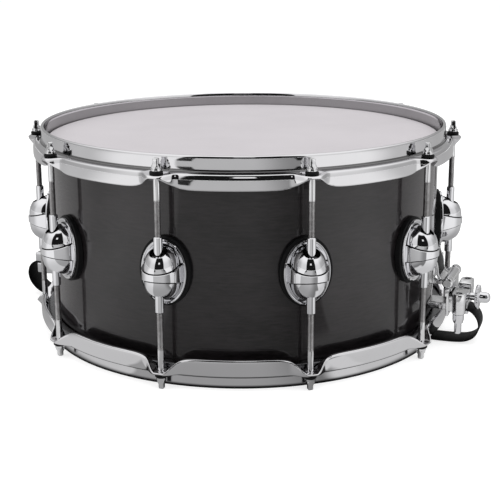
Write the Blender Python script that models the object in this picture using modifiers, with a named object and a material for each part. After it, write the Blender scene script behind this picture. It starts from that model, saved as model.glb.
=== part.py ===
"""Snare drum, 14 x 6.5 in: ten lugs, die-cast hoops, side throw-off strainer.

Metres, +Z up. The origin is on the drum's axis, in the plane of the lower rim. +X points at
the strainer and -X at the butt plate. The lugs stand 36 degrees apart, 18 degrees either side
of +X. Touching pieces keep a gap of 0.3 mm.
"""

import math

import bmesh
import bpy
from mathutils import Matrix, Vector

# ---------------------------------------------------------------- driving dimensions
GAP = 0.0003
HEIGHT = 0.188                 # lower rim plane to upper rim plane
MID = HEIGHT / 2
LUG_COUNT = 10
LUG_PITCH = 2 * math.pi / LUG_COUNT
RING_STEPS = 50                # facets of the round pieces
ROD_CIRCLE = 0.192             # radius that the tension rods stand on

SHELL_RADIUS = 0.1775
SHELL_WALL = 0.006
SHELL_END = 0.0115             # depth of a bearing edge below its rim plane
SHELL_EDGE = 0.0045            # height of the bearing edge's inner slope
VENT_ANGLE = math.radians(108)
VENT_RADIUS = 0.006

FILM = 0.0005
FILM_DEPTH = 0.0107            # playing face below the rim plane
COLLAR_RADIUS = 0.1794
FLESH_INNER = 0.1781
FLESH_OUTER = 0.1858
FLESH_WALL = 0.0006
FLESH_DEPTH = 0.0148           # top of the flesh hoop below the rim plane
FLESH_HEIGHT = 0.0054
HOOK_DEPTH = 0.0038            # foot of a head's hooked edge below the top of its flesh hoop

RIM_INNER = 0.1802
RIM_OUTER = 0.1838
SKIRT_INNER = 0.1868
SKIRT_OUTER = 0.1910
HOOP_DEPTH = 0.0250            # rim plane to the skirt's edge between two ears
LEDGE_DEPTH = FLESH_DEPTH - GAP
COVE_DEPTH = 0.0098            # foot of the rim's outer face
SHOULDER_DEPTH = 0.0121        # outer end of the sloping step between rim and skirt
EAR_TOP = 0.0130
EAR_BOTTOM = 0.0156
EAR_REACH = 0.1992
EAR_FLAT = 0.0055              # half-width of the level part of an ear
EAR_SWEEP = 0.0075             # length in which the skirt's edge falls away beside it
EAR_TAB_FLAT = 0.0050          # half-width of an ear at its full reach
EAR_TAB = 0.0110               # half-width where an ear has run back into the skirt
EAR_HOLE = 0.0031
GATE_WIDTH = 0.0340
GATE_DEPTH = 0.0100

ROD_SHANK = 0.00265
ROD_THREAD = 0.0024
ROD_HEAD_TOP = 0.0002          # below the rim plane
ROD_COLLAR = 0.0043
ROD_COLLAR_TOP = 0.0078
ROD_COLLAR_FOOT = 0.0102
ROD_SHANK_END = 0.0330
ROD_TIP = 0.0760

GASKET_FACE = 0.1813           # flat outer face of a gasket
GASKET_WIDTH = 0.0440
GASKET_HEIGHT = 0.0572
LUG_FACE = GASKET_FACE + GAP
LUG_LEVEL = MID + 0.0010       # height of the lugs' middles
BELT_REACH = 0.0214            # of the belt round a lug's middle, out from the flange
BELT_HALF_WIDTH = 0.0163
BELT_MIDDLE = 0.0028           # half-height of the belt at its outermost point
BELT_SPREAD = 0.0044           # by how much that grows towards the flange
SLEEVE_RADIUS = 0.0036
SLEEVE_END = 0.0309            # from the lug's middle
SLEEVE_LENGTH = 0.0200
SLEEVE_BORE = 0.0029
SLEEVE_BORE_END = 0.0130

STRAP_WIDTH = 0.0250
STRAP_THICK = 0.0010
WIRE_COUNT = 20
WIRE_PITCH = 0.0021
WIRE_RADIUS = 0.0007
WIRE_LEVEL = 0.0092
WIRE_PLATE = (0.1500, 0.1640)  # inner and outer end of an end plate, along X

POST_X = 0.2074                # the two posts are ovals in plan, long along Y
POST_Y = 0.0232                # middle of a post's round outer end, on the key hole's axis
POST_RADIUS = 0.0059
POST_INNER = 0.0134            # inner end of a post
SHOULDER_INNER = 0.0075        # inner end of the shoulder on top of a post
SHOULDER_FOOT = 0.0402
POST_FOOT = 0.0318
POST_TOP = 0.0502
KEY_HOLE = 0.0028
KNOB_LEVEL = 0.0412
LEVER_PIVOT = Vector((0.1967, 0.0, 0.0580))
LEVER_WIDTH = 0.0300
LEVER_BARREL = 0.0045
PIN_RADIUS = 0.0016
PIN_HOLE = 0.0021
EAR_OUTER = 0.0226             # outer end of the ears that hold the lever's pin
PLATE_BACK = 0.1700            # inside the shell, where the shell's surface then cuts it off
PLATE_FACE = 0.1812            # outer face of the strainer's back plate
PLATE_LEVELS = (0.0540, 0.0740)
CHEEK_LEVELS = (0.0560, 0.0735)
CHEEK_REACH = (0.1775, 0.1850)
ARM_LEVELS = (0.0563, 0.0598)  # the arms run from the cheeks out to the lever's ears
ARM_REACH = (0.1800, 0.1950)
RISER_LEVELS = (0.0500, 0.0580)
RISER_REACH = (0.1946, 0.1988)
ARM_INNER = 0.0160             # inner side of cheek, arm and riser, from the middle plane
WEB_LEVELS = (0.0322, 0.0440)
WEB_SIDES = (0.0142, 0.0218)
FRAME_FACE = 0.1990            # outer face of the plate that carries the posts
FRAME_WALL = 0.0026
FRAME_HALF = 0.0262
FRAME_LEVELS = (0.0290, 0.0530)
HEAD_WALL = 0.0045             # the frame plate's thicker upper end
HEAD_LEVELS = (0.0465, 0.0532)
FOOT_HALF = 0.0100
FOOT_LEVELS = (0.0296, 0.0356)
SCREW_HOLE = 0.0031
SCREW_HOLE_MIDDLE = 0.0335
SCREW_HOLE_LENGTH = 0.0180
KEY_HOLE_LENGTH = 0.0090
SEAM = 0.0002                  # keeps the faces of joined blocks from lying in one plane
CARRIAGE_HALF = 0.0127
BASE_FACE = 0.1862             # outer face of the plates screwed to the shell
JAW_LEVEL = 0.0320             # middle of the strap in the strainer's jaw
BUTT_LEVEL = 0.0355            # middle of the strap in the butt plate's jaw


# ---------------------------------------------------------------- scene and materials
def clear_scene():
    for obj in list(bpy.data.objects):
        bpy.data.objects.remove(obj, do_unlink=True)


def collection(name):
    made = bpy.data.collections.new(name)
    bpy.context.scene.collection.children.link(made)
    return made


clear_scene()
DRUM = collection("snare_drum")
HELPERS = collection("cutters_and_guides")


def material(name, colour, roughness, metallic=0.0):
    made = bpy.data.materials.new(name)
    made.use_nodes = True
    shader = made.node_tree.nodes["Principled BSDF"]
    shader.inputs["Base Color"].default_value = (*colour, 1.0)
    shader.inputs["Roughness"].default_value = roughness
    shader.inputs["Metallic"].default_value = metallic
    return made


CHROME = material("chrome", (0.82, 0.82, 0.84), 0.06, 1.0)
ROD_STEEL = material("rod_steel", (0.72, 0.71, 0.71), 0.14, 1.0)
ALUMINIUM = material("dark_aluminium", (0.16, 0.16, 0.17), 0.32, 1.0)
WIRE_STEEL = material("snare_wire_steel", (0.70, 0.70, 0.71), 0.22, 1.0)
LACQUER = material("charcoal_lacquer", (0.035, 0.032, 0.034), 0.08)
COATED_FILM = material("coated_film", (0.80, 0.78, 0.79), 0.62)
CLEAR_FILM = material("clear_film", (0.70, 0.72, 0.74), 0.20)
RUBBER = material("black_rubber", (0.012, 0.012, 0.013), 0.45)
RIBBON = material("black_ribbon", (0.010, 0.010, 0.011), 0.50)


def finish(obj, finish_material, group=DRUM):
    """Puts the object in its collection, gives it its material and shades its round faces smooth."""
    for old in list(obj.users_collection):
        old.objects.unlink(obj)
    group.objects.link(obj)
    obj.data.materials.clear()
    if finish_material:
        obj.data.materials.append(finish_material)
    obj.data.shade_smooth()
    obj.data.set_sharp_from_angle(angle=math.radians(35))
    if group is HELPERS:
        obj.hide_render = True
        obj.display_type = "WIRE"
    return obj


def object_from(name, bm, finish_material=None, group=DRUM):
    bmesh.ops.recalc_face_normals(bm, faces=bm.faces)
    mesh = bpy.data.meshes.new(name)
    bm.to_mesh(mesh)
    bm.free()
    return finish(bpy.data.objects.new(name, mesh), finish_material, group)


# ---------------------------------------------------------------- shape helpers
def box(name, low, high, finish_material=None, group=DRUM, round_edge=0.0):
    """A block between two corners, with bevelled edges where round_edge is given."""
    low, high = Vector(low), Vector(high)
    bm = bmesh.new()
    scale = Matrix.Diagonal((*(high - low), 1.0))
    bmesh.ops.create_cube(bm, size=1.0, matrix=Matrix.Translation((low + high) / 2) @ scale)
    if round_edge:
        bmesh.ops.bevel(bm, geom=bm.edges, offset=round_edge, segments=1, affect="EDGES")
    return object_from(name, bm, finish_material, group)


def cylinder(name, centre, radius, length, axis="Z", sides=16, finish_material=None, group=DRUM):
    turn = {"X": Matrix.Rotation(math.pi / 2, 4, "Y"), "Y": Matrix.Rotation(math.pi / 2, 4, "X")}
    placed = Matrix.Translation(centre) @ turn.get(axis, Matrix.Identity(4))
    bm = bmesh.new()
    bmesh.ops.create_cone(
        bm, cap_ends=True, segments=sides, radius1=radius, radius2=radius, depth=length, matrix=placed
    )
    return object_from(name, bm, finish_material, group)


def loft(name, rings, finish_material=None, group=DRUM, loop=False):
    """Skins a list of equal rings of points. The ends get caps, or with loop they meet."""
    bm = bmesh.new()
    rows = [[bm.verts.new(point) for point in ring] for ring in rings]
    pairs = list(zip(rows, rows[1:]))
    if loop:
        pairs.append((rows[-1], rows[0]))
    for row, following in pairs:
        for i in range(len(row)):
            k = (i + 1) % len(row)
            bm.faces.new((row[i], row[k], following[k], following[i]))
    if not loop:
        bm.faces.new(rows[0])
        bm.faces.new(rows[-1])
    return object_from(name, bm, finish_material, group)


def turned(name, profile, finish_material=None, group=DRUM, steps=RING_STEPS, closed=True):
    """Turns a profile of (radius, z) about Z. It runs down its outer side, top to bottom."""
    mesh = bpy.data.meshes.new(name)
    edges = [(i, i + 1) for i in range(len(profile) - 1)]
    if closed:
        edges.append((len(profile) - 1, 0))
    mesh.from_pydata([(radius, 0.0, z) for radius, z in profile], edges, [])
    obj = finish(bpy.data.objects.new(name, mesh), finish_material, group)
    screw = obj.modifiers.new("turn", "SCREW")
    screw.axis = "Z"
    screw.steps = screw.render_steps = steps
    screw.use_merge_vertices = True
    screw.merge_threshold = 0.00001
    screw.use_smooth_shade = True
    return obj


def combine(target, operation, *others):
    """Joins others to the target, or cuts them from it."""
    for other in others:
        boolean = target.modifiers.new(f"{operation.lower()}_{other.name}", "BOOLEAN")
        boolean.operation = operation
        boolean.object = other
    return target


def applied_mesh(obj, name):
    """The evaluated mesh of an object as a new mesh. The object itself becomes a helper."""
    graph = bpy.context.evaluated_depsgraph_get()
    mesh = bpy.data.meshes.new_from_object(obj.evaluated_get(graph))
    mesh.name = name
    return mesh


def copies(mesh, names_and_places, finish_material):
    """One object for each (name, matrix), all sharing a mesh."""
    for name, place in names_and_places:
        obj = finish(bpy.data.objects.new(name, mesh), finish_material)
        obj.matrix_world = place


def smoothstep(value):
    value = min(1.0, max(0.0, value))
    return value * value * (3 - 2 * value)


def at_side(depth, side):
    """Height of a point that lies depth inside the upper (side 1) or the lower (side -1) rim plane."""
    return MID + side * (MID - depth)


def side_profile(points, side):
    """(radius, depth) points as (radius, z), still running down the outer side."""
    placed = [(radius, at_side(depth, side)) for radius, depth in points]
    return placed if side > 0 else placed[::-1]


def lug_angle(index):
    return (index + 0.5) * LUG_PITCH


# ---------------------------------------------------------------- shell and heads
def make_shell():
    outer, inner = SHELL_RADIUS, SHELL_RADIUS - SHELL_WALL
    top, foot = at_side(SHELL_END, 1), at_side(SHELL_END, -1)
    crest = outer - 0.0012
    profile = [
        (crest, top),
        (outer, top - 0.003),
        (outer, foot + 0.003),
        (crest, foot),
        (inner, foot + SHELL_EDGE),
        (inner, top - SHELL_EDGE),
    ]
    shell = turned("shell", profile, LACQUER)
    middle = (SHELL_RADIUS - SHELL_WALL / 2) * Vector((math.cos(VENT_ANGLE), math.sin(VENT_ANGLE), 0))
    drill = cylinder("vent_cutter", (0, 0, 0), VENT_RADIUS, 0.03, "X", group=HELPERS)
    drill.location = middle + Vector((0, 0, MID))
    drill.rotation_euler.z = VENT_ANGLE
    combine(shell, "DIFFERENCE", drill)


def make_vent_grommet():
    """An eyelet through the shell, with a flange on each face of the wall."""
    tube, bore, flange, thick = VENT_RADIUS - GAP, VENT_RADIUS - 0.0013, 0.0085, 0.0010
    face, back = 0.0012, -SHELL_WALL - 0.0012
    profile = [
        (bore, face + thick),
        (flange, face + thick),
        (flange, face),
        (tube, face),
        (tube, back),
        (flange, back),
        (flange, back - thick),
        (bore, back - thick),
    ]
    grommet = turned("vent_grommet", profile, CHROME, steps=12)
    outward = Vector((math.cos(VENT_ANGLE), math.sin(VENT_ANGLE), 0))
    grommet.location = SHELL_RADIUS * outward + Vector((0, 0, MID))
    grommet.rotation_euler = outward.to_track_quat("Z", "Y").to_euler()


def make_head(name, side, finish_material):
    """The film with its collar, which hooks into the flesh hoop's channel."""
    foot = FLESH_DEPTH + HOOK_DEPTH
    under = FILM_DEPTH + FILM
    points = [
        (0.0, FILM_DEPTH),
        (COLLAR_RADIUS - 0.0028, FILM_DEPTH),
        (COLLAR_RADIUS, FILM_DEPTH + 0.0012),
        (COLLAR_RADIUS, foot - FILM),
        (COLLAR_RADIUS + 0.0035, foot - FILM),
        (COLLAR_RADIUS + 0.0035, foot),
        (COLLAR_RADIUS - FILM, foot),
        (COLLAR_RADIUS - FILM, under + 0.0010),
        (COLLAR_RADIUS - 0.0030, under),
        (0.0, under),
    ]
    turned(name, side_profile(points, side), finish_material, closed=False)


def make_flesh_hoop(name, side):
    """The channel ring that carries a head. It is open towards its rim."""
    top, foot = FLESH_DEPTH, FLESH_DEPTH + FLESH_HEIGHT
    points = [
        (FLESH_OUTER - FLESH_WALL, top),
        (FLESH_OUTER, top),
        (FLESH_OUTER, foot),
        (FLESH_INNER, foot),
        (FLESH_INNER, top),
        (FLESH_INNER + 0.0005, top),
        (FLESH_INNER + 0.0005, foot - FLESH_WALL),
        (FLESH_OUTER - FLESH_WALL, foot - FLESH_WALL),
    ]
    turned(name, side_profile(points, side), ALUMINIUM)


# ---------------------------------------------------------------- hoops
def hoop_section(angle, side):
    """Outline of a hoop at one angle: a plain rim, and below it the skirt or an ear."""
    from_lug = (angle % LUG_PITCH) - LUG_PITCH / 2
    along = abs(from_lug) * SKIRT_OUTER
    fall = 1 - math.exp(-max(0.0, along - EAR_FLAT) / EAR_SWEEP)
    tab = 1 - smoothstep((along - EAR_TAB_FLAT) / (EAR_TAB - EAR_TAB_FLAT))
    edge = EAR_BOTTOM + fall * (HOOP_DEPTH - EAR_BOTTOM)
    reach = SKIRT_OUTER + tab * (EAR_REACH - SKIRT_OUTER)
    step = SHOULDER_DEPTH + tab * (EAR_TOP - SHOULDER_DEPTH)
    points = [
        (RIM_INNER, LEDGE_DEPTH),
        (RIM_INNER + 0.0002, 0.0),
        (RIM_OUTER - 0.0010, 0.0),
        (RIM_OUTER, 0.0012),
        (RIM_OUTER - 0.0002, COVE_DEPTH),
        (RIM_OUTER + 0.0052, step),
        (reach - 0.0003, step + 0.0012 * (1 - tab)),
        (reach - 0.0004, edge),
        (SKIRT_INNER, edge),
        (SKIRT_INNER, LEDGE_DEPTH),
    ]
    return [
        (radius * math.cos(angle), radius * math.sin(angle), at_side(depth, side))
        for radius, depth in points
    ]


def make_hoop(name, side):
    from_ear = [math.radians(a) for a in (1.6, 4.4, 8.6, 14.4)]
    sector = sorted({sign * offset for offset in from_ear for sign in (-1, 1)})
    angles = [lug_angle(index) + offset for index in range(LUG_COUNT) for offset in sector]
    rings = [hoop_section(angle, side) for angle in sorted(angles)]
    hoop = loft(name, rings, CHROME, loop=True)
    for index in range(LUG_COUNT):
        angle = lug_angle(index)
        place = (ROD_CIRCLE * math.cos(angle), ROD_CIRCLE * math.sin(angle), at_side(EAR_TOP, side))
        drill = cylinder(f"{name}_drill_{index + 1}", place, EAR_HOLE, 0.02, sides=6, group=HELPERS)
        combine(hoop, "DIFFERENCE", drill)
    if side < 0:
        for sign, end in ((1, "strainer"), (-1, "butt")):
            near, far = sorted((sign * 0.1700, sign * 0.1860))
            gate = box(
                f"{end}_gate_cutter",
                (near, -GATE_WIDTH / 2, -0.001),
                (far, GATE_WIDTH / 2, GATE_DEPTH),
                group=HELPERS,
            )
            combine(hoop, "DIFFERENCE", gate)


# ---------------------------------------------------------------- lugs, gaskets and rods
def oval(x, half_width, half_height, count=10):
    """A ring of points round an oval in the plane of X = x."""
    ring = []
    for i in range(count):
        turn = 2 * math.pi * (i + 0.5) / count
        ring.append((x, half_width * math.cos(turn), half_height * math.sin(turn)))
    return ring


def lug_places():
    for index in range(LUG_COUNT):
        yield index, Matrix.Translation((0, 0, LUG_LEVEL)) @ Matrix.Rotation(lug_angle(index), 4, "Z")


def make_gaskets():
    half_width, half_height = GASKET_WIDTH / 2, GASKET_HEIGHT / 2
    sections = [
        (0.1700, half_width, half_height),
        (GASKET_FACE - 0.0010, half_width, half_height),
        (GASKET_FACE, half_width - 0.0008, half_height - 0.0008),
    ]
    blank = loft("gasket_blank", [oval(*section) for section in sections], group=HELPERS)
    hollow = turned(
        "gasket_cutter",
        [(0.0, 0.05), (SHELL_RADIUS + GAP, 0.05), (SHELL_RADIUS + GAP, -0.05), (0.0, -0.05)],
        group=HELPERS,
        steps=2 * RING_STEPS,
        closed=False,
    )
    hollow.rotation_euler.z = lug_angle(0)
    combine(blank, "DIFFERENCE", hollow)
    mesh = applied_mesh(blank, "lug_gasket")
    copies(mesh, [(f"lug_gasket_{i + 1:02d}", place) for i, place in lug_places()], RUBBER)


def belt_ring(side, size):
    """Half an ellipse in plan. Its height from the lug's middle grows towards both ends."""
    ring = []
    for i in range(9):
        turn = math.pi * (i / 8 - 0.5)
        height = BELT_MIDDLE + BELT_SPREAD * abs(turn / (math.pi / 2)) ** 2.2
        ring.append((
            LUG_FACE + 0.0010 + size * BELT_REACH * math.cos(turn),
            size * BELT_HALF_WIDTH * math.sin(turn),
            side * height,
        ))
    return ring


def make_lugs():
    """Flange, domed casting, belt round its middle and a threaded sleeve at each end."""
    sections = [
        (LUG_FACE, 0.0195, 0.0266),
        (LUG_FACE + 0.0018, 0.0195, 0.0266),
        (LUG_FACE + 0.0030, 0.0140, 0.0217),
        (0.1900, 0.0132, 0.0212),
        (0.1950, 0.0113, 0.0194),
        (0.1985, 0.0090, 0.0164),
        (0.2010, 0.0062, 0.0125),
        (0.2025, 0.0032, 0.0075),
    ]
    blank = loft("lug_blank", [oval(*section) for section in sections], group=HELPERS)
    hidden = 0.85                  # size of the belt's inner rings, inside the casting
    belt_rings = [belt_ring(*ring) for ring in ((-1, hidden), (-1, 1), (1, 1), (1, hidden))]
    belt = loft("lug_belt", belt_rings, group=HELPERS)
    bore_start = 0.0400
    bore_length = bore_start - SLEEVE_BORE_END
    sleeves, bores = [], []
    for side, end in ((1, "upper"), (-1, "lower")):
        middle = (ROD_CIRCLE, 0, side * (SLEEVE_END - SLEEVE_LENGTH / 2))
        sleeves.append(cylinder(f"{end}_sleeve", middle, SLEEVE_RADIUS, SLEEVE_LENGTH, sides=8,
                                group=HELPERS))
        middle = (ROD_CIRCLE, 0, side * (bore_start - bore_length / 2))
        bores.append(cylinder(f"{end}_bore", middle, SLEEVE_BORE, bore_length, sides=8, group=HELPERS))
    combine(blank, "UNION", belt, *sleeves)
    combine(blank, "DIFFERENCE", *bores)
    mesh = applied_mesh(blank, "lug")
    copies(mesh, [(f"lug_{i + 1:02d}", place) for i, place in lug_places()], CHROME)


def rod_ring(radius, depth, square=False):
    """Eight points round a rod: on a circle, or at the corners and middles of a square."""
    ring = []
    for i in range(8):
        turn = math.pi * (i + 0.5) / 4
        reach = radius / max(abs(math.cos(turn)), abs(math.sin(turn))) if square else radius
        ring.append((reach * math.cos(turn), reach * math.sin(turn), -depth))
    return ring


def make_tension_rods():
    """The rod hangs from its rim plane, head up. The lower rods are the same piece turned over."""
    rings = [
        rod_ring(0.0022, ROD_HEAD_TOP, True),
        rod_ring(0.0022, ROD_COLLAR_TOP - 0.0032, True),
        rod_ring(0.0034, ROD_COLLAR_TOP - 0.0004),
        rod_ring(ROD_COLLAR, ROD_COLLAR_TOP),
        rod_ring(ROD_COLLAR, ROD_COLLAR_FOOT),
        rod_ring(ROD_SHANK, ROD_COLLAR_FOOT + 0.0002),
        rod_ring(ROD_SHANK, ROD_SHANK_END),
        rod_ring(ROD_THREAD, ROD_SHANK_END + 0.0006),
        rod_ring(ROD_THREAD * 0.8, ROD_TIP),
    ]
    blank = loft("rod_blank", rings, group=HELPERS)
    mesh = applied_mesh(blank, "tension_rod")
    places = []
    for side, end in ((1, "batter"), (-1, "snare_side")):
        over = Matrix.Identity(4) if side > 0 else Matrix.Rotation(math.pi, 4, "X")
        for index in range(LUG_COUNT):
            around = Matrix.Rotation(lug_angle(index), 4, "Z")
            stand = Matrix.Translation((ROD_CIRCLE, 0, at_side(0, side)))
            places.append((f"{end}_tension_rod_{index + 1:02d}", around @ stand @ over))
    copies(mesh, places, ROD_STEEL)


# ---------------------------------------------------------------- straps and snare wires
def smooth_path(points, steps=3):
    """A Catmull-Rom curve through the points, which also passes through both ends."""
    padded = [2 * points[0] - points[1], *points, 2 * points[-1] - points[-2]]
    path = []
    for a, b, c, d in zip(padded, padded[1:], padded[2:], padded[3:]):
        for i in range(steps):
            t = i / steps
            spread = (2 * a - 5 * b + 4 * c - d) * t * t + (3 * b - a - 3 * c + d) * t**3
            path.append((2 * b + (c - a) * t + spread) / 2)
    return [*path, points[-1]]


def ribbon(name, points, thickness, width, finish_material, steps=2):
    """A flat band of that width along Y, whose middle line runs through (x, z) points."""
    path = smooth_path([Vector((x, 0, z)) for x, z in points], steps)
    rings = []
    for i, point in enumerate(path):
        ahead = path[min(i + 1, len(path) - 1)] - path[max(i - 1, 0)]
        across = Vector((-ahead.z, 0, ahead.x)).normalized() * thickness / 2
        side = Vector((0, width / 2, 0))
        rings.append([point + across - side, point + across + side, point - across + side,
                      point - across - side])
    return loft(name, rings, finish_material)


def make_straps():
    """From each clamp a strap loops out and down, then in through its gate to the wires."""
    inward = [(0.2040, 0.0016), (0.1930, 0.0012), (0.1820, 0.0014), (0.1720, 0.0036),
              (0.1620, 0.0066), (0.1530, 0.0072)]
    strainer = [(0.2012, JAW_LEVEL), (0.2080, JAW_LEVEL), (0.2136, JAW_LEVEL - 0.0002),
                (0.2184, 0.0290), (0.2222, 0.0240), (0.2237, 0.0180), (0.2226, 0.0115),
                (0.2185, 0.0060), (0.2120, 0.0028)]
    butt = [(0.2000, BUTT_LEVEL), (0.2100, BUTT_LEVEL), (0.2180, BUTT_LEVEL - 0.0001),
            (0.2240, 0.0332), (0.2280, 0.0280), (0.2292, 0.0210), (0.2268, 0.0135),
            (0.2210, 0.0070), (0.2130, 0.0030)]
    ribbon("strainer_strap", strainer + inward, STRAP_THICK, STRAP_WIDTH, RIBBON)
    mirrored = [(-x, z) for x, z in butt + inward]
    ribbon("butt_strap", mirrored, STRAP_THICK, STRAP_WIDTH, RIBBON)


def make_snare_wires():
    """Coiled strands between two end plates, which their ends are soldered into."""
    inner, outer = WIRE_PLATE
    half = WIRE_COUNT * WIRE_PITCH / 2
    low, high = (inner, -half, WIRE_LEVEL - 0.0009), (outer, half, WIRE_LEVEL + 0.0009)
    plate = box("snare_wires", low, high, WIRE_STEEL)
    mirrored = box("wire_plate_2", (-outer, low[1], low[2]), (-inner, high[1], high[2]), group=HELPERS)
    strands = bmesh.new()
    for i in range(WIRE_COUNT):
        y = (i - (WIRE_COUNT - 1) / 2) * WIRE_PITCH
        middle = Matrix.Translation((0, y, WIRE_LEVEL)) @ Matrix.Rotation(math.pi / 2, 4, "Y")
        bmesh.ops.create_cone(
            strands,
            cap_ends=True,
            segments=4,
            radius1=WIRE_RADIUS,
            radius2=WIRE_RADIUS,
            depth=2 * inner + 0.004,
            matrix=middle,
        )
    wires = object_from("wire_strands", strands, group=HELPERS)
    combine(plate, "UNION", wires, mirrored)


# ---------------------------------------------------------------- strainer
def against_shell(name):
    """A cutter that hollows a plate's back to fit the shell."""
    radius = SHELL_RADIUS + 2 * GAP
    profile = [(0.0, 0.12), (radius, 0.12), (radius, 0.0), (0.0, 0.0)]
    return turned(name, profile, group=HELPERS, steps=2 * RING_STEPS, closed=False)


def post_ring(z, radius, inner):
    """A post's oval outline at one height, from its round outer end to its inner end."""
    ring = [(POST_X + radius, inner, z)]
    for i in range(7):
        turn = math.pi * i / 6
        ring.append((POST_X + radius * math.cos(turn), POST_Y + radius * math.sin(turn), z))
    return [*ring, (POST_X - radius, inner, z)]


def front_and_rear(rings):
    """The same rings for the rear side and, mirrored in Y, for the front side."""
    mirrored = [[(x, -y, z) for x, y, z in ring] for ring in rings]
    return ((1, "rear", rings), (-1, "front", mirrored))


def side_box(name, sign, low, high, round_edge=0.0):
    """A helper block given on the rear side, or mirrored in Y to the front side."""
    near, far = sorted((sign * low[1], sign * high[1]))
    return box(name, (low[0], near, low[2]), (high[0], far, high[2]), group=HELPERS,
               round_edge=round_edge)


def make_strainer_base():
    """Back plate with cheeks, the ears for the lever's pin, and the frame plate with two posts."""
    base = box("strainer_base", (PLATE_BACK, -EAR_OUTER, PLATE_LEVELS[0]),
               (PLATE_FACE, EAR_OUTER, PLATE_LEVELS[1]), CHROME)
    head_half = FRAME_HALF + SEAM
    pieces = [
        box("frame_plate", (FRAME_FACE - FRAME_WALL, -FRAME_HALF, FRAME_LEVELS[0]),
            (FRAME_FACE, FRAME_HALF, FRAME_LEVELS[1]), group=HELPERS),
        box("frame_head", (FRAME_FACE - HEAD_WALL, -head_half, HEAD_LEVELS[0]),
            (FRAME_FACE - SEAM / 2, head_half, HEAD_LEVELS[1]), group=HELPERS),
        box("lower_foot", (PLATE_BACK, -FOOT_HALF, FOOT_LEVELS[0]),
            (FRAME_FACE - FRAME_WALL / 2, FOOT_HALF, FOOT_LEVELS[1]), group=HELPERS),
    ]
    cutters = [against_shell("strainer_back_cutter")]
    shoulder = [post_ring(SHOULDER_FOOT, POST_RADIUS, SHOULDER_INNER),
                post_ring(POST_TOP - 0.0008, POST_RADIUS, SHOULDER_INNER),
                post_ring(POST_TOP, POST_RADIUS - 0.0007, SHOULDER_INNER + 0.0007)]
    column = [post_ring(POST_FOOT, POST_RADIUS - SEAM, POST_INNER),
              post_ring(POST_TOP - 0.0020, POST_RADIUS - SEAM, POST_INNER)]
    ear_inner = LEVER_WIDTH / 2 + 2 * SEAM
    for sign, end, rings in front_and_rear(shoulder):
        pieces.append(loft(f"{end}_shoulder", rings, group=HELPERS))
        ear_middle = (LEVER_PIVOT.x, sign * (ear_inner + EAR_OUTER) / 2, LEVER_PIVOT.z)
        blocks = [
            ("cheek", CHEEK_REACH, (ARM_INNER, EAR_OUTER - SEAM), CHEEK_LEVELS),
            ("arm", ARM_REACH, (ARM_INNER + SEAM, EAR_OUTER - 2 * SEAM), ARM_LEVELS),
            ("riser", RISER_REACH, (ARM_INNER, EAR_OUTER - 1.5 * SEAM), RISER_LEVELS),
            ("web", (FRAME_FACE - FRAME_WALL / 2, POST_X), WEB_SIDES, WEB_LEVELS),
        ]
        for part, reach, sides, levels in blocks:
            low, high = zip(reach, sides, levels)
            pieces.append(side_box(f"{end}_{part}", sign, low, high))
        pieces.append(cylinder(f"{end}_ear", ear_middle, LEVER_BARREL + SEAM, EAR_OUTER - ear_inner, "Y", 12,
                               group=HELPERS))
        key_hole = (POST_X, sign * POST_Y, POST_TOP)
        cutters.append(cylinder(f"{end}_key_drill", key_hole, KEY_HOLE, KEY_HOLE_LENGTH, "Z", 10,
                                group=HELPERS))
    for _, end, rings in front_and_rear(column):
        pieces.append(loft(f"{end}_column", rings, group=HELPERS))
    cutters.append(cylinder("ear_drill", LEVER_PIVOT, PIN_HOLE, 3 * EAR_OUTER, "Y", 8, group=HELPERS))
    cutters.append(cylinder("post_drill", (POST_X, -POST_Y, SCREW_HOLE_MIDDLE), SCREW_HOLE,
                            SCREW_HOLE_LENGTH, "Z", 8, group=HELPERS))
    combine(base, "UNION", *pieces)
    combine(base, "DIFFERENCE", *cutters)


def make_adjusting_screw():
    """The snare-height screw under the front post."""
    profile = [(0.0, 0.0405), (0.0025, 0.0405), (0.0025, POST_FOOT - 0.0004),
               (0.0049, POST_FOOT - 0.0004), (0.0049, 0.0262), (0.0042, 0.0238), (0.0031, 0.0236),
               (0.0031, 0.0148), (0.0022, 0.0136), (0.0, 0.0134)]
    screw = turned("adjusting_screw", profile, ROD_STEEL, steps=12, closed=False)
    screw.location = (POST_X, -POST_Y, 0)


def make_carriage():
    """The block that slides between the posts. Its underside is the strap's upper jaw."""
    carriage = box("strainer_carriage", (FRAME_FACE + 0.0010, -CARRIAGE_HALF, JAW_LEVEL + 0.0010),
                   (0.2132, CARRIAGE_HALF, SHOULDER_FOOT - 0.0010), CHROME)
    tongue = box("carriage_tongue", (FRAME_FACE + 0.0012, -0.0067, 0.0380), (0.2128, 0.0067, 0.0472),
                 group=HELPERS)
    bore = cylinder("knob_bore", (0.2085, 0, KNOB_LEVEL), 0.0029, 0.0120, "X", 8, group=HELPERS)
    combine(carriage, "UNION", tongue)
    combine(carriage, "DIFFERENCE", bore)
    box("strainer_clamp_plate", (0.2005, -CARRIAGE_HALF, JAW_LEVEL - 0.0038),
        (0.2140, CARRIAGE_HALF, JAW_LEVEL - 0.0009), CHROME, round_edge=0.0007)


def make_knob():
    """The snare-tension knob: shaft, knurled disc and domed end, along +X."""
    profile = [(0.0, 0.0283), (0.0022, 0.0282), (0.0040, 0.0268), (0.0047, 0.0245),
               (0.0048, 0.0195), (0.0102, 0.0190), (0.0109, 0.0183), (0.0109, 0.0164),
               (0.0102, 0.0157), (0.0034, 0.0155), (0.0034, 0.0107), (0.0025, 0.0106),
               (0.0025, 0.0), (0.0, 0.0)]
    knob = turned("tension_knob", profile, CHROME, steps=12, closed=False)
    knob.location = (0.2030, 0, KNOB_LEVEL)
    knob.rotation_euler.y = math.pi / 2


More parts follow.
